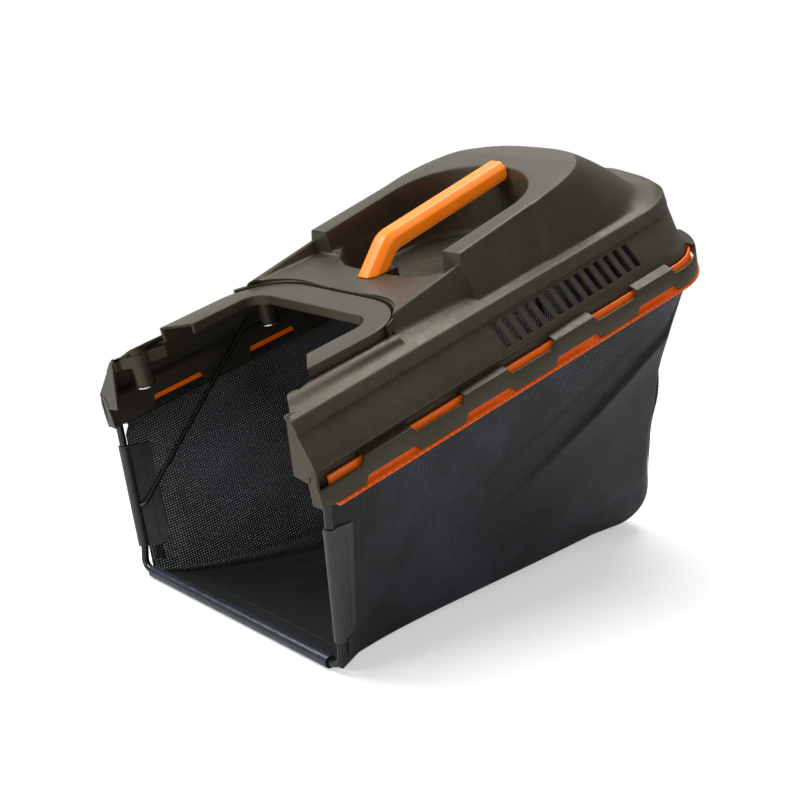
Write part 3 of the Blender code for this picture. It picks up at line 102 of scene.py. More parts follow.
def stack_columns(count: int, pairs: Sequence[tuple[Any, Any]]) -> Points:
    """Rows of two-dimensional points from pairs of numbers or arrays.

    Args:
        count: how many rows.
        pairs: one (first, second) pair for each point of a row.

    Returns:
        Array of shape (count, len(pairs), 2).
    """
    blank = np.zeros(count)
    return np.stack([np.stack([blank + a, blank + b], -1) for a, b in pairs], 1)


def rounded(lines: Points, radii: Sequence[float], steps: int = 4, fill: int = 0,
            closed: bool = False) -> Points:
    """Round the corners of polylines by a quadratic curve between two points near each.

    A corner P with neighbours A and B becomes (1-s)^2 a + 2s(1-s) P + s^2 b, where a and b
    lie a radius from P towards A and B, at most 45% of the way.

    Args:
        lines: array (rows, corners, dimensions).
        radii: a reach for each corner.
        steps: points on each rounding.
        fill: extra points on each straight stretch.
        closed: whether the last corner joins the first.

    Returns:
        Array (rows, points, dimensions).
    """
    count = lines.shape[1]
    share = np.linspace(0.0, 1.0, steps)[:, None]
    pieces: list[Points] = []
    for k in range(count):
        here = lines[:, k]
        if not closed and k in (0, count - 1):
            arc = here[:, None]
        else:
            before, after = lines[:, k - 1], lines[:, (k + 1) % count]
            ends = []
            for other in (before, after):
                gap = np.linalg.norm(other - here, axis=-1, keepdims=True)
                reach = np.minimum(radii[k], 0.45 * gap)
                ends.append((here + unit(other - here) * reach)[:, None])
            middle = 2 * share * (1 - share) * here[:, None]
            arc = (1 - share) ** 2 * ends[0] + middle + share ** 2 * ends[1]
        if pieces and fill:
            inner = np.linspace(0.0, 1.0, fill + 2)[1:-1][:, None]
            start = pieces[-1][:, -1:]
            pieces.append(start + (arc[:, :1] - start) * inner)
        pieces.append(arc)
    return np.concatenate(pieces, axis=1)


def grid_quads(rows: int, columns: int, wrap: bool = False) -> Points:
    """Quads over a grid of vertices counted row by row.

    Args:
        rows: rows of vertices.
        columns: vertices in a row.
        wrap: whether the last column joins the first.

    Returns:
        Array (faces, 4) of vertex numbers.
    """
    last = columns if wrap else columns - 1
    i, j = np.meshgrid(np.arange(rows - 1), np.arange(last), indexing="ij")
    a = i * columns + j
    b = i * columns + (j + 1) % columns
    return np.stack([a, b, b + columns, a + columns], -1).reshape(-1, 4)


def arc_lengths(grid: Points, axis: int) -> Points:
    """Distance along one axis of a grid from its first point: the summed steps."""
    steps = np.linalg.norm(np.diff(grid, axis=axis), axis=-1)
    lengths = np.cumsum(steps, axis=axis)
    first = np.zeros_like(np.take(lengths, [0], axis=axis))
    return np.concatenate([first, lengths], axis=axis)


@dataclass
class Shell:
    """Vertices and faces of one closed surface, with a flat place in metres for each vertex.

    Faces are kept as arrays (faces, corners), one for each number of corners.
    """

    vertices: Points
    faces: list[Points]
    flat: Points

    @classmethod
    def loft(cls, sections: Points) -> "Shell":
        """Closed sections joined in order and capped at both ends.

        Args:
            sections: array (sections, points, 3).

        Returns:
            The shell, with its flat place along the sections and round them.
        """
        rows, columns = sections.shape[:2]
        first = np.arange(columns)[None]
        faces = [grid_quads(rows, columns, wrap=True), first, first + (rows - 1) * columns]
        flat = np.stack([arc_lengths(sections, 0), arc_lengths(sections, 1)], -1)
        return cls(sections.reshape(-1, 3), faces, flat.reshape(-1, 2))

    @classmethod
    def slab(cls, grid: Points, thickness: float) -> "Shell":
        """Sheet of cloth from a grid of points, thickened to the side its normal leaves.

        The normal is the cross product of the steps across and along the grid.

        Args:
            grid: array (rows, columns, 3) on the outer side.
            thickness: how far the inner side lies behind it.

        Returns:
            The closed shell.
        """
        normal = unit(np.cross(np.gradient(grid, axis=1), np.gradient(grid, axis=0)))
        rows, columns = grid.shape[:2]
        count = rows * columns
        quads = grid_quads(rows, columns)
        number = np.arange(count).reshape(rows, columns)
        edge = np.concatenate([number[0], number[1:, -1], number[-1, -2::-1], number[-2:0:-1, 0]])
        after = np.roll(edge, -1)
        sides = np.stack([edge, after, after + count, edge + count], -1)
        faces = [quads, quads[:, ::-1] + count, sides]
        along = arc_lengths(grid, 0)
        flat = np.stack([along - along[rows // 2], arc_lengths(grid, 1)], -1).reshape(-1, 2)
        vertices = np.concatenate([grid.reshape(-1, 3), (grid - normal * thickness).reshape(-1, 3)])
        return cls(vertices, faces, np.concatenate([flat, flat]))


def tube_sections(path: Points, radius: Any, sides: int = 20) -> Points:
    """Rings round a path: point + r (cos a n + sin a b), with n kept from turning.

    Args:
        path: array (points, 3).
        radius: one radius, or one for each point.
        sides: points round a ring.

    Returns:
        Array (points, sides, 3).
    """
    ahead = unit(np.gradient(path, axis=0))
    fixed = np.array([0.0, 1.0, 0.0]) if abs(ahead[0, 1]) < 0.7 else np.array([1.0, 0.0, 0.0])
    side = unit(np.cross(ahead, fixed))
    normal = np.cross(side, ahead)
    turn = np.linspace(0.0, 2 * np.pi, sides, endpoint=False)
    reach = np.broadcast_to(np.asarray(radius, float), (len(path),))[:, None, None]
    ring = np.cos(turn)[None, :, None] * normal[:, None] + np.sin(turn)[None, :, None] * side[:, None]
    return path[:, None] + reach * ring


def soft_path(corners: Points, radii: Sequence[float], steps: int = 10, fill: int = 6) -> Points:
    """One path through corner points with rounded turns."""
    return rounded(np.asarray(corners, float)[None], radii, steps, fill)[0]


def mirror_half(half: Points) -> Points:
    """Rows of a whole rim from rows of its right half, whose last row is the middle."""
    return np.concatenate([half, half[-2::-1] * np.array([-1.0, 1.0, 1.0])])


def mesh_from(name: str, shells: Sequence[Shell]) -> bpy.types.Object:
    """One object from closed shells, with a UV map in metres and faces turned outwards.

    Args:
        name: the object's name.
        shells: its shells.

    Returns:
        The linked object at the origin.
    """
    starts = np.cumsum([0] + [len(s.vertices) for s in shells])
    vertices = np.concatenate([s.vertices for s in shells])
    faces = [face for s, start in zip(shells, starts) for block in s.faces
             for face in (block + start).tolist()]
    mesh = bpy.data.meshes.new(name)
    mesh.from_pydata(vertices.tolist(), [], faces)
    flat = np.concatenate([s.flat for s in shells])
    corner = np.zeros(len(mesh.loops), np.int32)
    mesh.loops.foreach_get("vertex_index", corner)
    layer = mesh.uv_layers.new(name="flat_metres")
    layer.data.foreach_set("uv", flat[corner].astype(np.float32).ravel())
    work = bmesh.new()
    work.from_mesh(mesh)
    bmesh.ops.recalc_face_normals(work, faces=work.faces)
    work.to_mesh(mesh)
    work.free()
    piece = bpy.data.objects.new(name, mesh)
    bpy.context.scene.collection.objects.link(piece)
    return piece


def smooth(piece: bpy.types.Object, degrees: float = 32.0) -> None:
    """Shade smooth, with edges sharper than the angle left sharp."""
    piece.data.polygons.foreach_set("use_smooth", np.ones(len(piece.data.polygons), bool))
    piece.data.set_sharp_from_angle(angle=math.radians(degrees))


def settle(piece: bpy.types.Object) -> None:
    """Apply every modifier of a piece to its mesh."""
    bpy.context.view_layer.update()
    evaluated = piece.evaluated_get(bpy.context.evaluated_depsgraph_get())
    result = bpy.data.meshes.new_from_object(evaluated)
    piece.modifiers.clear()
    piece.data = result


def carve(piece: bpy.types.Object, tool: bpy.types.Object) -> None:
    """Cut the tool out of the piece and remove the tool."""
    step = piece.modifiers.new("Cut", "BOOLEAN")
    step.operation = "DIFFERENCE"
    step.solver = "MANIFOLD"
    step.object = tool
    settle(piece)
    bpy.data.objects.remove(tool)


# A Wave texture of scale 1 repeats about every 0.314 m.
WAVE_STEP = 0.314


def hex_colour(code: str) -> tuple[float, float, float, float]:
    """Linear colour of an sRGB hex code.

    Args:
        code: such as "#FF6A13".

    Returns:
        Red, green, blue and alpha, linear.
    """
    parts = [int(code[i:i + 2], 16) / 255 for i in (1, 3, 5)]
    linear = [c / 12.92 if c <= 0.04045 else ((c + 0.055) / 1.055) ** 2.4 for c in parts]
    return (linear[0], linear[1], linear[2], 1.0)


def add_node(tree: bpy.types.NodeTree, kind: str, inputs: dict[Any, Any] | None = None,
             **settings: Any) -> bpy.types.Node:
    """Add a node with its settings, its socket values and its links.

    Args:
        tree: the material's or world's tree.
        kind: the node's type.
        inputs: socket name or number to a value, or to another node's output.
        settings: the node's own settings.

    Returns:
        The node.
    """
    made = tree.nodes.new(kind)
    for key, value in settings.items():
        setattr(made, key, value)
    for key, value in (inputs or {}).items():
        if isinstance(value, bpy.types.NodeSocket):
            tree.links.new(value, made.inputs[key])
        else:
            made.inputs[key].default_value = value
    return made


def new_material(name: str) -> tuple[bpy.types.Material, bpy.types.NodeTree, bpy.types.Node]:
    """Material with an empty tree but for its output."""
    made = bpy.data.materials.new(name)
    made.use_nodes = True
    made.node_tree.nodes.clear()
    output = add_node(made.node_tree, "ShaderNodeOutputMaterial")
    return made, made.node_tree, output


def mix_colours(tree: bpy.types.NodeTree, share: Any, first: Any, second: Any) -> bpy.types.NodeSocket:
    """Colour between two colours by a share."""
    made = add_node(tree, "ShaderNodeMix", {0: share, 6: first, 7: second}, data_type="RGBA")
    return made.outputs[2]


class Grain(Enum):
    """How a moulded surface was textured in its mould."""

    FINE = 0.7
    SATIN = 0.35


@dataclass(frozen=True)
class MouldedPlastic:
    """Injection-moulded polypropylene: mould grain, a soft sheen, faint flow shading and an optional
    painted glow.
    """

    name: str
    colour: str
    worn: str
    roughness: float = 0.45
    grain: Grain = Grain.FINE
    grain_depth_mm: float = 0.05
    edge_mm: float = 0.8
    tint: str = "#FFFFFF"
    painted_glow: float = 0.0

    def build(self) -> bpy.types.Material:
        """Make the material; the grain is 0.7 mm noise and the flow shading about 60 mm."""
        made, tree, output = new_material(self.name)
        place = add_node(tree, "ShaderNodeTexCoord").outputs["Object"]
        flow = add_node(tree, "ShaderNodeTexNoise", {"Vector": place, "Scale": 1 / 0.060, "Detail": 4.0})
        scuff = add_node(tree, "ShaderNodeTexNoise", {"Vector": place, "Scale": 1 / 0.009, "Detail": 6.0,
                                                      "Roughness": 0.7})
        blend = add_node(tree, "ShaderNodeMath", {0: flow.outputs[0], 1: scuff.outputs[0]},
                         operation="MULTIPLY")
        share = add_node(tree, "ShaderNodeMapRange",
                         {0: blend.outputs[0], 1: 0.15, 2: 0.42, 3: 0.0, 4: 0.45})
        colour = mix_colours(tree, share.outputs[0], hex_colour(self.colour), hex_colour(self.worn))
        dull = add_node(tree, "ShaderNodeMapRange", {0: scuff.outputs[0], 1: 0.3, 2: 0.7,
                                                     3: self.roughness - 0.07, 4: self.roughness + 0.08})
        grain = add_node(tree, "ShaderNodeTexNoise", {"Vector": place, "Scale": 1000 / self.grain.value,
                                                      "Detail": 2.0})
        edge = add_node(tree, "ShaderNodeBevel", {"Radius": self.edge_mm / 1000}, samples=4)
        bump = add_node(tree, "ShaderNodeBump",
                        {"Height": grain.outputs[0], "Distance": self.grain_depth_mm / 1000,
                         "Strength": 0.6, "Normal": edge.outputs[0]})
        # The emission of the base colour is a painted glow that keeps the part bright in shade.
        shader = add_node(tree, "ShaderNodeBsdfPrincipled",
                          {"Base Color": colour, "Roughness": dull.outputs[0], "IOR": 1.49,
                           "Specular Tint": hex_colour(self.tint), "Normal": bump.outputs[0],
                           "Emission Color": colour, "Emission Strength": self.painted_glow})
        tree.links.new(shader.outputs[0], output.inputs[0])
        return made


@dataclass(frozen=True)
class OpenMesh:
    """Open polyester mesh, warp-knitted: round yarns a fixed step apart with holes between."""

    name: str
    yarn: str
    light: str
    pitch_mm: float = 3.2
    open_share: float = 0.4
    painted_crest_highlight: float = 1.0

    def build(self) -> bpy.types.Material:
        """Make the material; the yarn step is drawn about twice its real 1.4 mm so that it shows."""
        made, tree, output = new_material(self.name)
        flat = add_node(tree, "ShaderNodeUVMap", uv_map="flat_metres").outputs[0]
        parts = add_node(tree, "ShaderNodeSeparateXYZ", {0: flat})
        step = self.pitch_mm / 1000
        holes, knots = [], []
        for axis in (0, 1):
            angle = add_node(tree, "ShaderNodeMath", {0: parts.outputs[axis], 1: 2 * math.pi / step},
                             operation="MULTIPLY")
            wave = add_node(tree, "ShaderNodeMath", {0: angle.outputs[0]}, operation="COSINE").outputs[0]
            for kind, sign in ((holes, 0.5), (knots, -0.5)):
                kind.append(add_node(tree, "ShaderNodeMath", {0: wave, 1: sign, 2: 0.5},
                                     operation="MULTIPLY_ADD").outputs[0])
        hole, knot = (add_node(tree, "ShaderNodeMath", {0: kind[0], 1: kind[1]},
                               operation="MULTIPLY").outputs[0] for kind in (holes, knots))
        place = add_node(tree, "ShaderNodeTexCoord").outputs["Object"]
        cloud = add_node(tree, "ShaderNodeTexNoise", {"Vector": place, "Scale": 1 / 0.11, "Detail": 3.0})
        patch = add_node(tree, "ShaderNodeMapRange",
                         {0: cloud.outputs[0], 1: 0.45, 2: 0.66, 3: 0.15, 4: 1.0})
        # Painted grey highlight on the yarn crests, made stronger in the random patches.
        crest = add_node(tree, "ShaderNodeMapRange", {0: knot, 1: 0.25, 2: 0.8, 3: 0.0, 4: self.painted_crest_highlight})
        glint = add_node(tree, "ShaderNodeMath", {0: crest.outputs[0], 1: patch.outputs[0]},
                         operation="MULTIPLY")
        colour = mix_colours(tree, glint.outputs[0], hex_colour(self.yarn), hex_colour(self.light))
        bump = add_node(tree, "ShaderNodeBump", {"Height": hole, "Distance": 0.0006, "Strength": 0.8},
                        invert=True)
        shader = add_node(tree, "ShaderNodeBsdfPrincipled",
                          {"Base Color": colour, "Roughness": 0.6, "IOR": 1.5, "Sheen Weight": 0.05,
                           "Sheen Roughness": 0.4, "Normal": bump.outputs[0]})
        gap = add_node(tree, "ShaderNodeMapRange", {0: hole, 1: 0.35, 2: 0.8, 3: 0.0, 4: self.open_share})
        clear = add_node(tree, "ShaderNodeBsdfTransparent")
        both = add_node(tree, "ShaderNodeMixShader", {0: gap.outputs[0], 1: shader.outputs[0],
                                                      2: clear.outputs[0]})
        tree.links.new(both.outputs[0], output.inputs[0])
        return made


@dataclass(frozen=True)
class CoatedCloth:
    """Close-woven nylon with a coating: nearly smooth, a soft sheen, a fine thread step."""

    name: str
    colour: str
    sheen: str
    roughness: float = 0.42
    thread_mm: float = 0.8
    crumple_mm: float = 0.5

    def build(self) -> bpy.types.Material:
        """Make the material; threads are drawn at twice their real 0.4 mm, creases at 25 mm."""
        made, tree, output = new_material(self.name)
        flat = add_node(tree, "ShaderNodeUVMap", uv_map="flat_metres").outputs[0]
        scale = WAVE_STEP * 1000 / self.thread_mm / 2
        weave, cross = (add_node(tree, "ShaderNodeTexWave", {"Vector": flat, "Scale": scale},
                                 bands_direction=way) for way in "XY")
        place = add_node(tree, "ShaderNodeTexCoord").outputs["Object"]
        crease = add_node(tree, "ShaderNodeTexNoise", {"Vector": place, "Scale": 1 / 0.025, "Detail": 3.0})
        both = add_node(tree, "ShaderNodeMath", {0: weave.outputs[1], 1: cross.outputs[1]}, operation="ADD")
        low = add_node(tree, "ShaderNodeBump",
                       {"Height": crease.outputs[0], "Distance": self.crumple_mm / 1000, "Strength": 0.5})
        bump = add_node(tree, "ShaderNodeBump", {"Height": both.outputs[0], "Distance": 0.00008,
                                                 "Strength": 0.5, "Normal": low.outputs[0]})
        tone = add_node(tree, "ShaderNodeMapRange", {0: crease.outputs[0], 1: 0.3, 2: 0.7, 3: 0.0, 4: 0.35})
        colour = mix_colours(tree, tone.outputs[0], hex_colour(self.colour), hex_colour(self.sheen))
        shader = add_node(tree, "ShaderNodeBsdfPrincipled",
                          {"Base Color": colour, "Roughness": self.roughness, "IOR": 1.5,
                           "Sheen Weight": 0.2, "Sheen Roughness": 0.35, "Normal": bump.outputs[0]})
        tree.links.new(shader.outputs[0], output.inputs[0])
        return made


@dataclass(frozen=True)
class CoatedSteel:
    """Steel rod or tube: powder paint when dark, bright zinc when metallic."""

    name: str
    colour: str
    roughness: float
    metallic: float = 0.0

    def build(self) -> bpy.types.Material:
        """Make the material with a faint 8 mm unevenness of the coat."""
        made, tree, output = new_material(self.name)
        place = add_node(tree, "ShaderNodeTexCoord").outputs["Object"]
        peel = add_node(tree, "ShaderNodeTexNoise", {"Vector": place, "Scale": 1 / 0.008, "Detail": 2.0})
        bump = add_node(tree, "ShaderNodeBump", {"Height": peel.outputs[0], "Distance": 0.00002,
                                                 "Strength": 0.5})
        dull = add_node(tree, "ShaderNodeMapRange", {0: peel.outputs[0], 1: 0.3, 2: 0.7,
                                                     3: self.roughness - 0.05, 4: self.roughness + 0.06})
        shader = add_node(tree, "ShaderNodeBsdfPrincipled",
                          {"Base Color": hex_colour(self.colour), "Roughness": dull.outputs[0],
                           "Metallic": self.metallic, "Normal": bump.outputs[0]})
        tree.links.new(shader.outputs[0], output.inputs[0])
        return made


# Moulded with a fine grain: a dark warm grey whose broad highlights turn olive.
COVER_PLASTIC = MouldedPlastic("olive_grey_polypropylene", "#37332A", "#4D4738", 0.40, tint="#D6CCAE")
# Satin orange with a painted glow, an emission that keeps it bright in half shade.
HANDLE_PLASTIC = MouldedPlastic("orange_grip_polypropylene", "#FF7E0C", "#FF8E22", 0.34,
                                Grain.SATIN, 0.02, 1.2, painted_glow=0.26)
# The same plastic, redder and with crisper edges and a weaker painted glow, seen as thin bright lines.
STRIP_PLASTIC = MouldedPlastic("orange_strip_polypropylene", "#FF6A08", "#FF7C18", 0.36,
                               Grain.SATIN, 0.02, 0.5, painted_glow=0.10)
# Knitted yarns whose crests carry a painted grey highlight and whose holes let the far side through.
SIDE_MESH = OpenMesh("black_polyester_mesh", "#090A0F", "#5A6270")
REAR_MESH = OpenMesh("black_polyester_rear_mesh", "#090A0F", "#5A6270")
# Rubbery black coating that keeps the inside of the bag deep and even.
FLOOR_CLOTH = CoatedCloth("black_coated_nylon", "#07080C", "#0E1015", 0.55, 0.8, 0.2)
# Glossier coating drawn tight round the bar, with a long blue-grey highlight.
BAR_CLOTH = CoatedCloth("blue_grey_coated_nylon", "#1D222E", "#3A4559", 0.26, 0.8, 0.12)
# Worn coating of the folded flaps: a flat warm grey.
SLEEVE_CLOTH = CoatedCloth("grey_coated_nylon", "#2F2E2B", "#403F3B", 0.40, 0.8, 0.35)
# Coarse woven tape, matt and a little lighter than the mesh.
WEBBING = CoatedCloth("black_woven_webbing", "#131417", "#2C2D31", 0.6, 1.6, 0.6)
# Twisted sewing threads, which read as fine dark or grey dashes.
THREAD = CoatedCloth("black_sewing_thread", "#060607", "#101012", 0.6, 0.6, 0.1)
PALE_THREAD = CoatedCloth("grey_sewing_thread", "#2E3036", "#44464C", 0.6, 0.6, 0.1)
# Smooth black paint with a sharp thin highlight along the tube and rods.
FRAME_PAINT = CoatedSteel("black_powder_paint", "#121317", 0.18)
# Bright plating, seen as small white glints under the bosses.
ZINC = CoatedSteel("bright_zinc_plate", "#D6D8DA", 0.25, 1.0)


@dataclass
class Workshop:
    """Keeps each finish's material and puts pieces onto the frame."""

    made: dict[str, bpy.types.Material] = field(default_factory=dict)

    def look(self, finish: Any) -> bpy.types.Material:
        """Material of a finish, built the first time it is asked for."""
        if finish.name not in self.made:
            self.made[finish.name] = finish.build()
        return self.made[finish.name]

    def place(self, piece: bpy.types.Object, finish: Any, slot: str,
              nodes: Sequence[str]) -> bpy.types.Object:
        """Dress a piece and let it ride on the frame in place of its CAD nodes.

        Args:
            piece: the finished object.
            finish: its finish.
            slot: not used.
            nodes: the CAD nodes that it stands for.

        Returns:
            The piece.
        """
        piece.data.materials.clear()
        piece.data.materials.append(self.look(finish))
        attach(piece, "root")
        if nodes:
            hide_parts(*nodes)
        LOG.info("%s: %d faces", piece.name, len(piece.data.polygons))
        return piece


@dataclass(frozen=True)
class PlanLine:
    """Line seen square to the rim: rows 0 to 1 side, 1 to 2 elliptic corner, 2 to 3 rear."""

    front: tuple[float, float]
    rear_x: float
    corner: tuple[float, float]
    rear_u: float

    def points(self, rows: Any) -> Points:
        """Points (x, u) at row parameters.

        Args:
            rows: array of row parameters.

        Returns:
            Array with (x, u) on a new last axis.
        """
        t = np.asarray(rows, float)
        start = self.rear_u - self.corner[1]
        turn = np.clip(t - 1.0, 0.0, 1.0) * np.pi / 2
        side = np.stack([self.front[0] + (self.rear_x - self.front[0]) * t,
                         self.front[1] + (start - self.front[1]) * t], -1)
        bend = np.stack([self.rear_x - self.corner[0] * (1 - np.cos(turn)),
                         start + self.corner[1] * np.sin(turn)], -1)
        back = np.stack([(self.rear_x - self.corner[0]) * (3.0 - t), np.full_like(t, self.rear_u)], -1)
        return np.where((t <= 1.0)[..., None], side, np.where((t <= 2.0)[..., None], bend, back))

    def inside(self, inset: float) -> "PlanLine":
        """The same line moved in."""
        return PlanLine((self.front[0] - inset, self.front[1]), self.rear_x - inset,
                        (self.corner[0] - inset, self.corner[1] - inset), self.rear_u - inset)


CREASE_LINE = PlanLine((0.173, FRONT_U), 0.147, (0.105, 0.105), 0.703)
BAND_LINE = PlanLine((0.206, FRONT_U), 0.197, (0.155, 0.114), BAND_REAR_U)
RIM_LINE = PlanLine((0.1383, 0.087), 0.1383, (0.078, 0.072), 0.243)


def side_row(u: Any) -> Any:
    """Row parameter of a place on the straight side."""
    return (u - FRONT_U) / (CREASE_LINE.rear_u - CREASE_LINE.corner[1] - FRONT_U)


def front_share(rows: Any) -> Points:
    """1 on the cover's front edge, falling to 0 over the first 30 mm."""
    return np.clip(1.0 - np.asarray(rows, float) / side_row(FRONT_U + LEAN_FADE), 0.0, 1.0)


def front_lean(rows: Any, heights: Any) -> Points:
    """How far the front edge leans forward: 0.19 of the drop below the crease, up to 55 mm of it."""
    return FRONT_LEAN * np.minimum(CREASE_W - np.asarray(heights, float), LEAN_REACH) * front_share(rows)


def along_band(rows: Points, ring: Points) -> Points:
    """Sections along the band: its line moved in by each inset, a share of a line 10 mm in.

    Args:
        rows: row parameters.
        ring: array (rows, corners, 2) of (inset, w).

    Returns:
        Array (rows, corners, 3) in cover measures.
    """
    outer, inner = BAND_LINE.points(rows), BAND_LINE.inside(0.010).points(rows)
    plan = outer[:, None] + (inner - outer)[:, None] * (ring[..., :1] / 0.010)
    return np.concatenate([plan, ring[..., 1:]], -1)


@dataclass
class RimTeeth:
    """Where the castellated band rises and falls along half the rim."""

    first_u: float = 0.080
    pitch: float = 0.0715
    slant: float = 0.006
    corner_steps: int = 40

    def stations(self) -> tuple[Points, Points]:
        """Rows along half the rim and the raised share at each.

        Returns:
            Row parameters, with a row at both ends of each slant, and shares from 0 to 1.
        """
        fine = np.concatenate([np.linspace(0, 1, 4001), np.linspace(1, 2, 1001)[1:],
                               np.linspace(2, 3, 401)[1:]])
        line = BAND_LINE.points(fine)
        length = np.concatenate([[0.0], np.cumsum(np.hypot(*np.diff(line, axis=0).T))])
        edges = np.arange(self.first_u - FRONT_U, length[-1] - self.pitch / 2, self.pitch)
        marks = np.concatenate([[0.0, length[-1]], edges - self.slant / 2, edges + self.slant / 2,
                                np.interp(np.linspace(1, 2, self.corner_steps + 1), fine, length),
                                np.linspace(0.0, 0.049, 8)])
        marks = np.unique(np.round(marks, 5))
        keep = np.concatenate([[True], np.diff(marks) > 0.0008])
        marks = marks[keep]
        marks[-1] = length[-1]
        shares = np.clip((marks[:, None] - edges) / self.slant + 0.5, 0.0, 1.0)
        signs = np.where(np.arange(len(edges)) % 2 == 0, 1.0, -1.0)
        return np.interp(marks, length, fine), (shares * signs).sum(1)


@dataclass
class Cover:
    """One-piece moulded cover: arms round a notch, plate, bowl, horseshoe hump, wall and band."""

    wall: float = 0.003
    plate_front_u: float = 0.203
    plate_x: float = 0.131
    plate_step: float = 0.0055
    foot_x: float = 0.147
    plate_w: float = 0.303
    deck_w: float = 0.287
    bowl_front_u: float = 0.303
    bowl_w: float = 0.266
    bowl_x: float = 0.103
    bowl_turn_u: float = 0.430
    bowl_turn_length: float = 0.087
    hump_front_u: float = 0.317
    ridge_width: float = 0.025
    ridge_w: float = 0.330
    ridge_slope: float = 0.100
    ridge_level_u: float = 0.545
    oval_power: float = 2.8
    hump_foot_x: float = 0.143
    hump_top_rear_u: float = 0.580
    hump_rear_foot_u: float = 0.674
    notch_x: float = 0.106
    arm_x: float = 0.163
    rim_top_w: float = 0.298
    channel: float = CHANNEL
    band_foot_w: float = 0.1875
    band_rise: float = 0.008
    band_height: float = 0.021
    skirt_top_w: float = 0.221
    skirt_foot_w: float = 0.2045
    slope_foot_w: float = 0.228
    side_spread: float = 0.034
    rear_spread: float = 0.001
    panel_drop: float = 0.012
    panel_recess: float = 0.002
    low_tooth_w: float = 0.188
    boss_x: float = 0.156
    boss_u: tuple[float, float] = (0.059, 0.243)
    boss_radius: float = 0.011
    boss_foot_w: float = 0.237
    vents: int = 14
    vent_u: float = 0.306
    vent_pitch: float = 0.0177
    vent_width: float = 0.0098
    vent_top_w: float = 0.258
    vent_foot_w: float = 0.233
    teeth: RimTeeth = field(default_factory=RimTeeth)

    def ridge(self, u: Points) -> Points:
        """Height of the ridge: rising one in ten to u = 0.545, then level."""
        run = np.clip(u, self.hump_front_u, self.ridge_level_u) - self.hump_front_u
        return self.ridge_w + self.ridge_slope * run

    def hump(self, x: Points, u: Points) -> Points:
        """Height of the hump: level inside one squarish oval, down to the deck at another.

        An oval's value is (|x/a|^p + |along/b|^p)^(1/p) with p = 2.8. Between the two the
        height falls by 0.75 s^1.3 + 0.25 s^4 of the share s of the way.
        """
        along = np.maximum(0.0, u - self.bowl_turn_u)
        p = self.oval_power

        def oval(half: float, end: float) -> Points:
            return (np.abs(x / half) ** p + (along / (end - self.bowl_turn_u)) ** p) ** (1 / p)

        inner = oval(self.bowl_x + self.ridge_width, self.hump_top_rear_u)
        outer = oval(self.hump_foot_x, self.hump_rear_foot_u)
        share = np.clip((inner - 1) / np.maximum((inner - 1) + (1 - outer), 1e-9), 0.0, 1.0)
        share = np.where(inner <= 1, 0.0, np.where(outer >= 1, 1.0, share))
        deck = self.deck_w - 0.004 * np.clip((u - 0.574) / 0.1, 0.0, 1.0)
        drop = 0.75 * share ** 1.3 + 0.25 * share ** 4
        return self.ridge(u) + (deck - self.ridge(u)) * drop

    def oval_x(self, half: float, end_u: float, u: Points) -> Points:
        """Half width of such an oval behind the bowl's turn."""
        along = np.clip((u - self.bowl_turn_u) / (end_u - self.bowl_turn_u), 0.0, 1.0)
        return half * (1.0 - along ** self.oval_power) ** (1 / self.oval_power)

    def half_sections(self, u: Points, half: Points) -> Points:
        """Half profiles (x, w) from the crease to the middle, each with nine corners.

        The kinds of profile (arms, plate, bowl's front, bowl, bowl's turn and rear) are
        mixed over a few millimetres where one follows the other.

        Args:
            u: place of each profile.
            half: half width of the crease there.

        Returns:
            Array (profiles, 9, 2).
        """
        n = len(u)
        bevel_x = half - np.minimum(0.012, 0.4 * half)
        bevel_w = CREASE_W + CREASE_RISE
        foot_x = np.minimum(self.foot_x, bevel_x - 0.002)
        foot_w = np.minimum(self.deck_w, bevel_w + 0.8 * (bevel_x - foot_x) + 0.003)
        edge = [(half, CREASE_W), (bevel_x, bevel_w)]
        foot = (foot_x, foot_w)
        arms = stack_columns(n, edge + [foot] + [(self.plate_x * f, self.deck_w)
                                                 for f in (1.04, 1.0, 0.95, 0.6, 0.3, 0.0)])
        lip = self.plate_w + 0.135 * (u - self.plate_front_u)
        plate_foot = (self.plate_x + self.plate_step, self.deck_w)

        def plate(gap: Any, drop: float, floor: float) -> Points:
            return stack_columns(n, edge + [
                plate_foot, (self.plate_x, lip), (self.plate_x - 0.006, lip),
                (self.plate_x - 0.0096, self.plate_w), (gap, self.plate_w - 0.002),
                (gap - drop, floor), (0.0, floor)])

        gap = 0.060 + 0.026 * np.clip((u - self.bowl_front_u) / 0.014, 0.0, 1.0)
        flat_plate = plate(gap, 0.030, self.plate_w - 0.004)
        bowl_front = plate(gap, 0.009, self.bowl_w)
        top = self.ridge(u)
        opening = np.clip(0.86 + 0.14 * (u - self.hump_front_u) / 0.018, 0.0, 1.0)
        outer = self.bowl_x + self.ridge_width + 0.003 * np.clip((self.bowl_turn_u - u) / 0.113, 0.0, 1.0)
        bowl = stack_columns(n, edge + [foot, (outer, top), (self.bowl_x, top),
                                        (self.bowl_x - 0.003, self.plate_w + 0.002),
                                        (self.bowl_x * opening - 0.004, self.plate_w - 0.002),
                                        (self.bowl_x * opening - 0.009, self.bowl_w), (0.0, self.bowl_w)])
        along = np.clip(u - self.bowl_turn_u, 0.0, self.bowl_turn_length)
        floor_length = self.bowl_turn_length - 0.009
        top_x = self.bowl_x * np.sqrt(1 - (along / self.bowl_turn_length) ** 2)
        floor_x = (self.bowl_x - 0.009) * np.sqrt(np.clip(1 - (along / floor_length) ** 2, 0.0, 1.0))
        floor = self.bowl_w + (top - self.bowl_w) * np.maximum(0.0, along - floor_length) / 0.009
        middle = (top + floor) / 2
        oval = self.oval_x(self.bowl_x + self.ridge_width, self.hump_top_rear_u, u)
        turn = stack_columns(n, edge + [(foot_x, self.hump(foot_x, u)), (oval, top), (top_x, top),
                                        ((2 * top_x + floor_x) / 3, (top + middle) / 2),
                                        ((top_x + 2 * floor_x) / 3, (middle + floor) / 2),
                                        (floor_x, floor), (0.0, floor)])
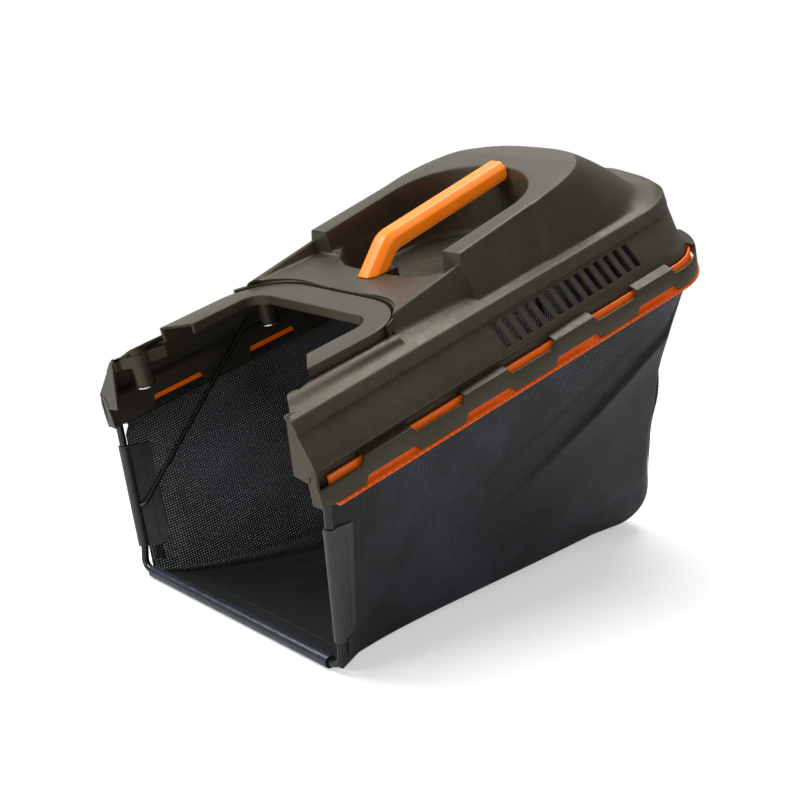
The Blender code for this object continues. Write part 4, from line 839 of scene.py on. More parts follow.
        hump_foot = np.minimum(foot_x, np.maximum(0.45 * foot_x,
                                                  self.oval_x(self.hump_foot_x, self.hump_rear_foot_u, u)))
        hump_edge = np.minimum(0.92 * hump_foot, np.maximum(0.66 * hump_foot, oval))
        places = [hump_foot] + [hump_edge * f for f in (1.0, 0.8, 0.6, 0.4, 0.2, 0.0)]
        rear = stack_columns(n, edge + [(x, self.hump(x, u)) for x in places])
        result = arms
        turn_end = self.bowl_turn_u + self.bowl_turn_length
        for kind, start, end in ((flat_plate, 0.2015, 0.2032), (bowl_front, 0.2995, 0.3035),
                                 (bowl, 0.3143, 0.3178), (turn, 0.428, 0.446),
                                 (rear, turn_end - 0.0002, turn_end + 0.0002)):
            result = result + (kind - result) * ramp(u, start, end)[:, None, None]
        return result

    def deck(self) -> tuple[Points, Points]:
        """Top skin as a grid (rows, points, 3) in cover measures, and its row parameters."""
        stretches = [(FRONT_U, 0.2010, 12), (0.2015, 0.2035, 6), (0.208, 0.296, 12), (0.2992, 0.3038, 9),
                     (0.306, 0.312, 3), (0.3140, 0.3182, 10), (0.3205, 0.426, 30), (0.428, 0.446, 10)]
        places = [np.linspace(*s) for s in stretches]
        places.append(self.bowl_turn_u + self.bowl_turn_length * np.sin(np.linspace(0.2, math.pi / 2, 34)))
        places.append(np.linspace(0.519, 0.595, 18))
        turn = np.linspace(1.0, 2.0, 44)
        rows = np.concatenate([side_row(np.concatenate(places)), turn[turn < 1.9], [2.0]])
        line = CREASE_LINE.points(rows)
        half, u = line[:, 0], line[:, 1]
        corners = self.half_sections(u, half)
        fine = rounded(corners, (0, 0.004, 0.006, 0.003, 0.0025, 0.003, 0.004, 0.007, 0), 4, 3)
        x, w = fine[..., 0], fine[..., 1]
        shape = self.hump(x, u[:, None])
        outside = x >= self.oval_x(self.bowl_x + self.ridge_width, self.hump_top_rear_u, u)[:, None]
        inside = x <= corners[:, 2, 0][:, None]
        behind = (u > self.bowl_turn_u + self.bowl_turn_length)[:, None]
        share = ramp(u, 0.430, 0.470)[:, None] * (inside & (outside | behind))
        w = w + (shape - w) * share
        right = np.stack([x, np.broadcast_to(u[:, None], x.shape), w], -1)
        left = right[:, -2::-1] * np.array([-1.0, 1.0, 1.0])
        return np.concatenate([right, left], 1), rows

    def skin(self) -> bpy.types.Object:
        """Top skin and side wall as one moulding of even wall thickness.

        The wall below each crease point runs out by an offset and down to a height: strip
        foot, recessed panel, slope foot, skirt top and skirt foot, with rounded corners.

        Returns:
            The object, thickened and with its crease rounded.
        """
        deck, rows = self.deck()
        count, across = deck.shape[:2]
        number = np.arange(count * across).reshape(count, across)
        rim = np.concatenate([number[:, 0], number[-1, 1:-1], number[::-1, -1]])
        rear = across - 2
        crease = deck.reshape(-1, 3)[rim]
        skirt = BAND_LINE.inside(self.channel).points(rows)
        rear_x = deck[-1, 1:-1, 0] * skirt[-1, 0] / deck[-1, 0, 0]
        skirt_rear = np.stack([rear_x, np.full(rear, skirt[-1, 1])], -1)
        foot = np.concatenate([skirt, skirt_rear, skirt[::-1] * [-1, 1]])
        all_rows = np.concatenate([rows, np.full(rear, 2.5), rows[::-1]])
        fade = front_share(all_rows)
        spread = self.side_spread + (self.rear_spread - self.side_spread) * np.clip(all_rows - 1, 0, 1)
        outward = foot - crease[:, :2]
        distance = np.linalg.norm(outward, axis=1)
        strip = spread * self.panel_drop / (CREASE_W - self.slope_foot_w)
        corners = stack_columns(len(rim), [
            (0.0, CREASE_W), (strip, CREASE_W - self.panel_drop),
            (strip - self.panel_recess * (1 - fade), CREASE_W - 1.1 * self.panel_drop),
            (spread, self.slope_foot_w), (distance, self.skirt_top_w), (distance, self.skirt_foot_w)])
        fine = rounded(corners, (0, 0.0008, 0.0006, 0.003, 0.003, 0), 4, 2)[:, 1:]
        direction = unit(outward)
        lean = front_lean(all_rows[:, None], fine[..., 1])
        plan = crease[:, None, :2] + direction[:, None] * fine[..., :1]
        wall = np.concatenate([plan, fine[..., 1:]], -1)
        wall[..., 1] -= lean
        vertices = np.concatenate([deck.reshape(-1, 3), wall.reshape(-1, 3)])
        levels = wall.shape[1]
        below = count * across + np.arange(len(rim) * levels).reshape(-1, levels)
        table = np.concatenate([rim[:, None], below], 1)
        sides = np.stack([table[:-1, :-1], table[1:, :-1], table[1:, 1:], table[:-1, 1:]], -1)
        faces = [grid_quads(count, across), sides.reshape(-1, 4)]
        piece = mesh_from("moulded_cover", [Shell(cover_to_world(vertices), faces, vertices[:, :2])])
        mesh = piece.data
        if sum(face.normal.z * face.area for face in mesh.polygons) < 0:
            mesh.flip_normals()
        ends = np.zeros(len(mesh.edges) * 2, np.int32)
        mesh.edges.foreach_get("vertices", ends)
        on_rim = np.isin(ends.reshape(-1, 2), rim[all_rows <= 1.5]).all(1)
        weight = mesh.attributes.new("bevel_weight_edge", "FLOAT", "EDGE")
        weight.data.foreach_set("value", on_rim.astype(np.float32))
        bevel = piece.modifiers.new("Crease", "BEVEL")
        bevel.limit_method = "WEIGHT"
        bevel.width = 0.0016
        bevel.segments = 3
        wall_step = piece.modifiers.new("Wall", "SOLIDIFY")
        wall_step.thickness = self.wall
        wall_step.offset = -1.0
        settle(piece)
        return piece

    def swept(self, rows: Points, ring: Points, rounding: float = 0.0006) -> Shell:
        """Closed section carried round the rim.

        Args:
            rows: row parameters of half the rim.
            ring: array (rows, corners, 2) of (inset, w).
            rounding: reach of each corner's rounding.

        Returns:
            The shell of the whole rim.
        """
        ring = rounded(ring, [rounding] * ring.shape[1], 3, 0, True)
        half = along_band(rows, ring)
        half[..., 1] -= front_lean(rows[:, None], ring[..., 1])
        return Shell.loft(cover_to_world(mirror_half(half)))

    def band(self) -> list[Shell]:
        """Castellated band, the skirt's teeth behind it and the roofs over its raised teeth."""
        rows, high = self.teeth.stations()
        foot = self.band_foot_w + self.band_rise * high
        n = len(rows)
        top = foot + self.band_height
        outer = stack_columns(n, [(0.0, foot), (0.0, top - 0.0015), (0.0015, top), (self.wall, top),
                                  (self.wall, foot)])
        skirt_foot = self.low_tooth_w + (self.skirt_foot_w + 0.0007 - self.low_tooth_w) * high
        near, far = self.channel + 0.0002, self.channel + self.wall - 0.0006
        top = self.skirt_foot_w + 0.006
        skirt = stack_columns(n, [(near, skirt_foot), (near, top), (far, top), (far, skirt_foot)])
        shells = [self.swept(rows, outer, 0.0007), self.swept(rows, skirt, 0.0003)]
        raised = high > 0.999
        starts = np.flatnonzero(raised & ~np.concatenate([[False], raised[:-1]]))
        ends = np.flatnonzero(raised & ~np.concatenate([raised[1:], [False]]))
        full = self.band_foot_w + self.band_rise + self.band_height
        for first, last in zip(starts, ends):
            span = rows[first:last + 1].copy()
            span[0] -= 0.0005
            span[-1] += 0.0 if last == n - 1 else 0.0005
            inner = self.channel + 0.0011
            ring = [(0.0004, full - 0.0030), (0.0004, full - 0.0006),
                    (inner, self.skirt_top_w), (inner, self.skirt_top_w - 0.003)]
            lines = [BAND_LINE.inside(inset).points(span) for inset, _ in ring]
            half = np.stack([np.column_stack([line, np.full(len(span), w)])
                             for line, (_, w) in zip(lines, ring)], 1)
            if last == n - 1:
                shells.append(Shell.loft(cover_to_world(mirror_half(half))))
            else:
                shells += [Shell.loft(cover_to_world(half * [s, 1, 1])) for s in (1, -1)]
        return shells

    def arm_faces(self) -> list[Shell]:
        """Leaning front web of each arm, with rounded edges."""
        foot = self.band_foot_w + 0.0006
        corners = np.array([(0.166, 0.278), (0.172, 0.272), (0.205, 0.230), (0.205, 0.212), (0.205, foot),
                            (0.189, foot), (0.191, 0.214), (0.169, 0.217)])
        line = rounded(corners[None], [0.0015] * len(corners), 4, 1, True)[0]
        lean = FRONT_LEAN * np.clip(CREASE_W - line[:, 1], 0.0, LEAN_REACH)
        half = np.stack([np.stack([line[:, 0], FRONT_U - lean + depth, line[:, 1]], -1)
                         for depth in (0.0001, self.wall)])
        return [Shell.loft(cover_to_world(half * [side, 1, 1])) for side in (1, -1)]

    def rim(self) -> list[Shell]:
        """Raised flat rim round the notch, its groove floor and the plate's upright front wall."""
        rows = np.concatenate([np.linspace(0, 1, 4), np.linspace(1, 2, 33)[1:], [3.0]])
        outer = RIM_LINE.points(rows)
        inner = PlanLine((self.notch_x, 0.112), self.notch_x, (0.026, 0.026), 0.204).points(rows)
        width = np.linalg.norm(outer - inner, axis=1)
        across = unit(outer - inner)
        top, low = self.rim_top_w, self.deck_w - 0.0075
        groove, drop = width + 0.0065, 0.012
        corners = stack_columns(len(rows), [
            (0.0, top - drop), (0.0, top), (width, top), (width, low + 0.0015), (groove, low + 0.0015),
            (groove, low), (width - self.wall, low), (width - self.wall, top - self.wall),
            (self.wall, top - self.wall), (self.wall, top - drop)])
        radii = [0.0008, 0.0018, 0.0018, 0.0004, 0.0002, 0.0002, 0.0004, 0.0004, 0.0004, 0.0008]
        ring = rounded(corners, radii, 5, 0, True)
        plan = inner[:, None] + across[:, None] * ring[..., :1]
        sections = np.concatenate([plan, ring[..., 1:]], -1)
        wall_rows = np.concatenate([np.linspace(1.2, 2, 24), [3.0]])
        walls = []
        for reach, w in ((0.0032, low), (0.0062, low), (0.0062, self.plate_w - 0.003),
                         (0.0032, self.plate_w - 0.0042)):
            line = RIM_LINE.inside(-reach).points(wall_rows)
            walls.append(np.column_stack([line, np.full(len(line), w)]))
        return [Shell.loft(cover_to_world(mirror_half(sections))),
                Shell.loft(cover_to_world(mirror_half(np.stack(walls, 1))))]

    def arm_edge(self) -> Points:
        """Free edge of the right arm in plan: a straight stretch's end, then round the front boss."""
        tab = self.boss_radius + 0.0015
        turn = np.radians(np.linspace(-50, 40, 10))
        arc = np.stack([self.boss_x - tab * np.cos(turn), self.boss_u[0] + tab * np.sin(turn)], -1)
        return np.concatenate([[(self.arm_x, self.boss_u[0] - 1.6 * tab)], arc])

    def notch_cutter(self) -> bpy.types.Object:
        """Prism of the notch, its arms' boss tabs left standing, out to the groove's far edge."""
        grown = RIM_LINE.inside(-0.0036)
        line = PlanLine(grown.front, grown.rear_x, RIM_LINE.corner, grown.rear_u)
        rows = np.concatenate([[0, 1], np.linspace(1, 2, 33)[1:], [3.0]])
        half = np.concatenate([[(self.arm_x, -0.02)], self.arm_edge(), line.points(rows)])
        plan = np.concatenate([half, half[-2::-1] * [-1, 1]])
        rings = [np.column_stack([plan, np.full(len(plan), w)]) for w in (0.2665, 0.40)]
        return mesh_from("notch_cutter", [Shell.loft(cover_to_world(np.stack(rings)))])

    def vent_cutters(self) -> bpy.types.Object:
        """Slanted slots through both side walls, one body for each."""
        shells = []
        slope = self.side_spread / (CREASE_W - self.slope_foot_w)
        corners = ((self.vent_top_w, 0.0), (self.vent_top_w, self.vent_width),
                   (self.vent_foot_w, self.vent_width), (self.vent_foot_w, 0.0))
        for index in range(self.vents):
            u = self.vent_u + index * self.vent_pitch
            crease = CREASE_LINE.points(side_row(u))[0]
            rings = [[(crease + (CREASE_W - w) * slope + reach, u + edge, w + 0.8 * reach)
                      for w, edge in corners] for reach in (-0.012, 0.012)]
            shells += [Shell.loft(cover_to_world(np.array(rings) * [side, 1, 1])) for side in (1, -1)]
        return mesh_from("vent_cutter", shells)

    def boss(self, side: int, u: float) -> Shell:
        """Round boss whose top follows the deck, a little inside its wall."""
        turn = np.linspace(0.0, 2 * np.pi, 40, endpoint=False)
        rings = []
        for reach, w in ((self.boss_radius - 0.0006, self.boss_foot_w),
                         (self.boss_radius, self.boss_foot_w + 0.0006), (self.boss_radius, None)):
            x, along = self.boss_x + reach * np.cos(turn), u + reach * np.sin(turn)
            half = CREASE_LINE.points(side_row(u))[0]
            behind = u > self.plate_front_u
            foot = self.plate_x + self.plate_step if behind else min(self.foot_x, half - 0.014)
            top = np.interp(x, (foot, half - 0.012, half - 0.001, half + 0.034),
                            (self.deck_w, CREASE_W + CREASE_RISE, CREASE_W - 0.001, 0.227)) - 0.0018
            rings.append(np.stack([side * x, along, top if w is None else np.full_like(x, w)], -1))
        return Shell.loft(cover_to_world(np.stack(rings)))

    def lips(self) -> list[Shell]:
        """Turned-down lip along the free edge of each arm and its two bosses."""
        line = np.concatenate([[(self.arm_x, FRONT_U + 0.001)], self.arm_edge(), [(0.1395, 0.0875)]])
        ahead = unit(np.gradient(line, axis=0))
        out = np.stack([ahead[:, 1], -ahead[:, 0]], -1)
        out *= np.sign(out[:1, :1])
        shells = []
        for side in (1, -1):
            near, far = line, line + out * self.wall
            ring = [np.column_stack([p, np.full(len(p), w)]) for p, w in
                    ((near, 0.262), (far, 0.262), (far, 0.2765), (near, 0.2765))]
            shells.append(Shell.loft(cover_to_world(np.stack(ring, 1) * [side, 1, 1])))
            shells += [self.boss(side, u) for u in self.boss_u]
        block = rounded(np.array([[(-0.017, 0.2965), (0.017, 0.2965), (0.017, 0.321), (-0.017, 0.321)]]),
                        [0.003] * 4, 5, 0, True)[0]
        rings = [np.column_stack([block, np.full(len(block), w)]) for w in (0.2655, 0.2995)]
        return shells + [Shell.loft(cover_to_world(np.stack(rings)))]

    def build(self, shop: Workshop) -> bpy.types.Object:
        """Make the cover and put it in place of its CAD node."""
        skin = self.skin()
        carve(skin, self.notch_cutter())
        carve(skin, self.vent_cutters())
        added = mesh_from("added", self.band() + self.arm_faces() + self.rim() + self.lips())
        work = bmesh.new()
        work.from_mesh(skin.data)
        work.from_mesh(added.data)
        mesh = bpy.data.meshes.new("moulded_cover")
        work.to_mesh(mesh)
        work.free()
        skin.data = mesh
        bpy.data.objects.remove(added)
        smooth(skin, 30.0)
        return shop.place(skin, COVER_PLASTIC, "moulded_cover_plastic", ["top_cover"])


@dataclass
class ClampStrip:
    """Orange strip that holds the bag's edge: a flange up in the channel and a lip outside."""

    foot_w: float = STRIP_FOOT_W
    top_w: float = 0.2145
    lip: float = 0.003
    back: float = 0.0098
    thickness: float = 0.0025
    start_u: float = STRIP_START_U

    def build(self, shop: Workshop, cover: Cover) -> bpy.types.Object:
        """Make the strip: one L-section with a fine groove in its outer face, round the rim."""
        rows, _ = cover.teeth.stations()
        start = side_row(self.start_u)
        rows = np.concatenate([[start], rows[rows > start + 0.01]])
        low, shelf = self.foot_w, self.foot_w + self.lip
        front, flange = -STRIP_PROUD, self.back - self.thickness
        groove = front + 0.0009
        corners = stack_columns(len(rows), [
            (front, low), (front, low + 0.0012), (groove, low + 0.0013), (groove, low + 0.0018),
            (front + 0.0002, low + 0.0019), (front + 0.0002, shelf), (flange, shelf),
            (flange, self.top_w), (self.back, self.top_w), (self.back, low)])
        radii = [0.0003, 0.0002, 0.0001, 0.0001, 0.0002, 0.0004, 0.0004, 0.0006, 0.0006, 0.0004]
        half = along_band(rows, rounded(corners, radii, 3, 0, True))
        piece = mesh_from("orange_strip", [Shell.loft(cover_to_world(mirror_half(half)))])
        smooth(piece)
        self.build_dashes(shop, rows)
        return shop.place(piece, STRIP_PLASTIC, "clamp_plastic", ["clamp_frame"])

    def build_dashes(self, shop: Workshop, rows: Points) -> None:
        """Row of dark stitches through the lip, just above its foot, all round the rim."""
        fine = np.concatenate([np.linspace(rows[0], 1, 300), np.linspace(1, 2, 200)[1:],
                               np.linspace(2, 3, 60)[1:]])
        line = BAND_LINE.inside(0.0001 - STRIP_PROUD).points(fine)
        ahead = unit(np.gradient(line, axis=0))
        half = np.column_stack([line, np.full(len(fine), self.foot_w + 0.0021)])
        out = np.column_stack([ahead[:, 1], -ahead[:, 0], np.zeros(len(fine))])
        whole = mirror_half(half)
        normal = cover_to_world(mirror_half(out)) - cover_to_world(np.zeros(3))
        seam = Stitching(pitch=0.0090, length=0.0070, width=0.0007)
        seam.build(shop, "strip_stitch", cover_to_world(whole), normal, "clamp_plastic")


@dataclass
class CarryHandle:
    """Bent carrying handle of chamfered section, from the plate to the bowl's rear."""

    width: float = 0.031
    depth: float = 0.024
    chamfer: float = 0.007
    foot: tuple[float, float] = (0.280, 0.2999)
    bend: tuple[float, float] = (0.320, 0.338)
    end: tuple[float, float] = (0.514, 0.3575)

    def build(self, shop: Workshop) -> bpy.types.Object:
        """Make the handle: the section square to a path with one rounded bend."""
        half, cut, deep = self.width / 2, self.chamfer, self.depth
        corners = np.array([
            (-half, cut), (cut - half, 0.0), (half - cut, 0.0), (half, cut),
            (half, deep - cut), (half - cut, deep), (cut - half, deep), (-half, deep - cut)])
        ring = rounded(corners[None], [0.0016] * len(corners), 4, 0, True)[0]
        foot, bend, end = (np.array(p) for p in (self.foot, self.bend, self.end))
        lower, upper = unit(bend - foot), unit(end - bend)
        middle = unit(lower + upper)
        steps = [np.array([1.0, 0.0]) / lower[1], np.array([middle[1], -middle[0]]) / (middle @ lower),
                 np.array([0.0, -1.0]) / upper[0]]
        near = np.stack([foot, bend, end])[None]
        far = np.stack([p + s * deep for p, s in zip((foot, bend, end), steps)])[None]
        top = rounded(near, (0, 0.012, 0), 12, 8)[0]
        low = rounded(far, (0, 0.008, 0), 12, 8)[0]
        share = ring[:, 1] / deep
        line = top[:, None] + (low - top)[:, None] * share[None, :, None]
        x = np.broadcast_to(ring[None, :, 0], line.shape[:2])
        sections = np.concatenate([x[..., None], line], -1)
        piece = mesh_from("carrying_grip", [Shell.loft(cover_to_world(sections))])
        smooth(piece)
        return shop.place(piece, HANDLE_PLASTIC, "handle_plastic", ["carry_handle"])


@dataclass
class MouthFrame:
    """Bent tube round the bag's mouth, its brace rods and its cloth sleeves."""

    tube: float = 0.0045
    gap: float = 0.0004
    cloth: float = 0.0022
    bar_x: float = 0.190
    top_x: float = 0.199
    lean: float = 0.025
    foot_z: float = 0.030
    top_z: float = 0.206
    corner: float = 0.024
    sleeve_half: float = 0.172
    sleeve_foot: float = 0.036
    sleeve_top: float = 0.162
    flap: float = 0.032
    flap_cloth: float = 0.0012
    flap_corner: float = 0.014
    rod: float = 0.0028
    brace_top: tuple[float, float, float] = (0.172, 0.226, 0.248)
    brace_foot_z: float = 0.086
    bar_cloth_width: float = 0.0374
    upright_cloth_width: float = 0.087

    @property
    def bar_z(self) -> float:
        """Height of the bar's centre in its sleeve on the ground."""
        return self.tube + self.gap + self.cloth

    def upright(self, z: Any) -> Points:
        """Centre of the right upright at heights above the ground."""
        z = np.asarray(z, float)
        share = (z - self.foot_z) / (self.top_z - self.foot_z)
        return np.stack([self.bar_x + (self.top_x - self.bar_x) * share, -self.lean * share, z], -1)

    def build(self, shop: Workshop, bag: "Bag") -> None:
        """Make the tube, the two rods, the bar's sleeve and the two upright sleeves."""
        foot = self.upright(self.foot_z)
        corner = np.array([foot[0], 0.0, self.bar_z])
        half = np.stack([self.upright(self.top_z), foot * [1, 1, 0] + [0, 0, self.foot_z + 0.004], corner,
                         [0.0, 0.0, self.bar_z]])
        path = rounded(half[None], (0, 0.004, self.corner, 0), 14, 9)[0]
        whole = np.concatenate([path, path[-2::-1] * [-1, 1, 1]])
        piece = mesh_from("bent_tube", [Shell.loft(tube_sections(ground_to_world(whole), self.tube, 28))])
        smooth(piece)
        shop.place(piece, FRAME_PAINT, "frame_paint", ["mouth_frame"])
        self.build_bar_sleeve(shop)
        for side, word in ((1, "right"), (-1, "left")):
            self.build_sleeve(shop, bag, side, word)
            self.build_brace(shop, bag, side, word)

    def build_bar_sleeve(self, shop: Workshop) -> None:
        """Cloth tube round the bar, slit at the rear, with shallow drawn creases along it."""
        inner, slit, around = self.tube + self.gap, 0.0012, 41
        outer = inner + self.cloth
        x = np.linspace(-self.sleeve_half, self.sleeve_half, 90)
        near, far = math.asin(slit / outer), math.asin(slit / inner)
        turn = np.concatenate([np.linspace(near, 2 * math.pi - near, around),
                               np.linspace(2 * math.pi - far, far, around)])
        base = np.repeat([outer, inner], around)
        dent = 0.00022 * np.sin(x[:, None] * 190 + 2.0 * np.sin(x[:, None] * 41)) * np.sin(3 * turn + 1.0)
        radius = base[None] - np.abs(dent) * (base == outer)
        p, q = radius * np.cos(turn), radius * np.sin(turn)
        sections = np.stack([np.broadcast_to(x[:, None], p.shape), p, self.bar_z + q], -1)
        piece = mesh_from("bar_sleeve_cloth", [Shell.loft(ground_to_world(sections))])
        smooth(piece)
        shop.place(piece, BAR_CLOTH, "bar_sleeve_fabric", ["bar_sleeve"])

    def frames(self, bag: "Bag", z: Points) -> tuple[Points, Points, Points]:
        """Centre of the right upright, and the panel's direction behind it and outwards."""
        centre = self.upright(z)
        behind = bag.panel_direction(z)
        out = np.stack([behind[:, 1], -behind[:, 0]], -1)
        return centre, behind, out

    def build_sleeve(self, shop: Workshop, bag: "Bag", side: int, word: str) -> None:
        """Folded sleeve whose two flaps hold the mesh's edge, its lower corner rounded."""
        gap, leg = 0.0007 + 1.5 * self.gap, self.flap_cloth
        inner = self.tube + self.gap
        outer = inner + 0.0016
        low, high = self.sleeve_foot, self.sleeve_top
        z = np.concatenate([low + self.flap_corner * (1 - np.cos(np.radians(np.linspace(0, 90, 12)))),
                            np.linspace(low + self.flap_corner, high, 40)[1:]])
        centre, behind, out = self.frames(bag, z)
        drop = np.clip(1 - (z - low) / self.flap_corner, 0.0, 1.0)
        reach = self.flap - self.flap_corner * (1 - np.sqrt(1 - drop * drop))
        turn = np.linspace(math.asin((gap + leg) / outer), 2 * math.pi - math.asin((gap + leg) / outer), 33)
        back = np.linspace(2 * math.pi - math.asin(gap / inner), math.asin(gap / inner), 33)
        inset = np.linspace(1.0, 0.35, 6)
        n = len(z)
        columns: list[tuple[Any, Any]] = [(reach * f, gap + leg) for f in inset]
        columns += [(outer * math.cos(a), outer * math.sin(a)) for a in turn]
        columns += [(reach * f, -gap - leg) for f in inset[::-1]]
        columns += [(reach, -gap)]
        columns += [(inner * math.cos(a), inner * math.sin(a)) for a in back]
        columns += [(reach, gap)]
        ring = stack_columns(n, columns)
        pull = 0.00018 * np.sin(z * 310 + 1.3 * side) * np.sin(z * 73)
        ring[..., 1] += np.sign(ring[..., 1]) * np.abs(pull)[:, None] * (ring[..., 0] > 0.009)
        p, q = ring[..., :1], ring[..., 1:]
        plan = centre[:, None, :2] + behind[:, None] * p + out[:, None] * q
        sections = np.concatenate([plan, np.broadcast_to(z[:, None, None], plan[..., :1].shape)], -1)
        shell = Shell.loft(ground_to_world(sections) * [side, 1, 1])
        piece = mesh_from("upright_sleeve_cloth_" + word, [shell])
        smooth(piece)
        shop.place(piece, SLEEVE_CLOTH, "sleeve_fabric_" + word, ["upright_sleeve_" + word])
        line_z = np.linspace(low + 0.006, high - 0.003, 60)
        centre, behind, out = self.frames(bag, line_z)
        for face, name in ((1.0, "outer"), (-1.0, "inner")):
            rise = face * (gap + leg + 0.0003)
            place = centre[:, :2] + behind * (self.flap * 0.66) + out * rise
            seam = Stitching(pitch=0.0056, length=0.0040, width=0.0014)
            line = ground_to_world(np.column_stack([place, line_z])) * [side, 1, 1]
            normal = np.column_stack([out * face, np.zeros(len(out))]) * [side, 1, 1]
            seam.build(shop, f"sleeve_stitch_{name}_{word}", line, normal, "sleeve_fabric_" + word)

    def build_brace(self, shop: Workshop, bag: "Bag", side: int, word: str) -> None:
        """Rod from the cover down to the upright, with its foot bent out to the tube."""
        top = cover_to_world(self.brace_top) + [0, Y_CENTRE, 0]
        tube_point = self.upright(self.brace_foot_z)
        behind = bag.panel_direction(np.array([self.brace_foot_z]))[0]
        inward = np.array([-behind[1], behind[0]])
        off = 0.0007 + self.gap + self.flap_cloth + 2 * self.gap + self.rod + 0.001
        knee = tube_point + np.append(behind * 0.010 + inward * off, 0.004)
        to_tube = tube_point - knee
        reach = np.linalg.norm(to_tube)
        end = knee + to_tube / reach * (reach - self.tube - self.gap - 0.0004)
        path = soft_path(np.stack([top, knee, end]), (0, 0.003, 0), 8, 12)
        piece = mesh_from("brace_rod_" + word,
                          [Shell.loft(tube_sections(ground_to_world(path) * [side, 1, 1], self.rod, 20))])
        smooth(piece)
        shop.place(piece, FRAME_PAINT, "brace_paint_" + word, ["brace_" + word])


@dataclass
class Stitching:
    """Row of sewn stitches: short rounded bars of thread lying on cloth."""

    pitch: float
    length: float
    width: float

    def build(self, shop: Workshop, name: str, line: Points, normal: Points, slot: str,
              finish: "CoatedCloth | None" = None) -> bpy.types.Object:
        """Make the row along a line.

        Each stitch is a bar of eight points: middle +- half length ahead, +- half width across.

        Args:
            shop: places the piece.
            name: its name.
            line: points along the cloth's surface.
            normal: the surface's outward direction at each.
            slot: the record's material slot of the cloth.
            finish: the thread, black if none is given.

        Returns:
            The placed piece.
        """
        length = arc_lengths(line[None], 1)[0]
        places = np.arange(self.pitch, length[-1] - self.pitch, self.pitch)
        middle = np.stack([np.interp(places, length, line[:, k]) for k in range(3)], -1)
        up = unit(np.stack([np.interp(places, length, normal[:, k]) for k in range(3)], -1))
        ahead = unit(np.gradient(middle, axis=0))
        across = np.cross(ahead, up)
        shape = np.array([(-1, 0, -0.4), (-0.7, -1, -0.4), (0.7, -1, -0.4), (1, 0, -0.4), (0.7, 1, -0.4),
                          (-0.7, 1, -0.4), (-0.6, 0, 0.5), (0.6, 0, 0.5)])
        scale = np.array([self.length / 2, self.width / 2, self.width / 2])
        parts = (shape * scale)[None]
        points = (middle[:, None] + parts[..., :1] * ahead[:, None] + parts[..., 1:2] * across[:, None]
                  + parts[..., 2:] * up[:, None])
        pattern = ((0, 1, 6), (1, 2, 7, 6), (2, 3, 7), (3, 4, 7), (4, 5, 6, 7), (5, 0, 6),
                   (5, 4, 3, 2, 1, 0))
        faces = [np.array(face) + len(shape) * np.arange(len(middle))[:, None] for face in pattern]
        flat = np.zeros((points.shape[0] * len(shape), 2))
        piece = mesh_from(name, [Shell(points.reshape(-1, 3), faces, flat)])
        smooth(piece, 70.0)
        return shop.place(piece, finish or THREAD, slot, [])


@dataclass(frozen=True)
class Fold:
    """Diagonal fold of a side panel between two places (row, share of the way down)."""

    start: tuple[float, float]
    end: tuple[float, float]
    size: float
    sharp: float

    def rise(self, t: Points, v: Points) -> Points:
        """Share by which the fold stands out at places of the cloth.

        Past the fold's line the cloth rises over a short way and dies away as exp(-d / 0.12).

        Args:
            t: row parameters.
            v: shares of the way down.

        Returns:
            Array of shares from 0 to the fold's size.
        """
        (t0, v0), (t1, v1) = self.start, self.end
        along = np.array([t1 - t0, v1 - v0])
        length = np.hypot(*along)
        away = -((v - v0) * along[0] - (t - t0) * along[1]) / length
        place = ((t - t0) * along[0] + (v - v0) * along[1]) / length ** 2
        ends = np.sin(np.pi * np.clip((place + 0.1) / 1.1, 0.0, 1.0))
        return self.size * ends * (ramp(away, 0.0, self.sharp)
                                   * np.exp(-np.maximum(0.0, away - self.sharp) / 0.12))


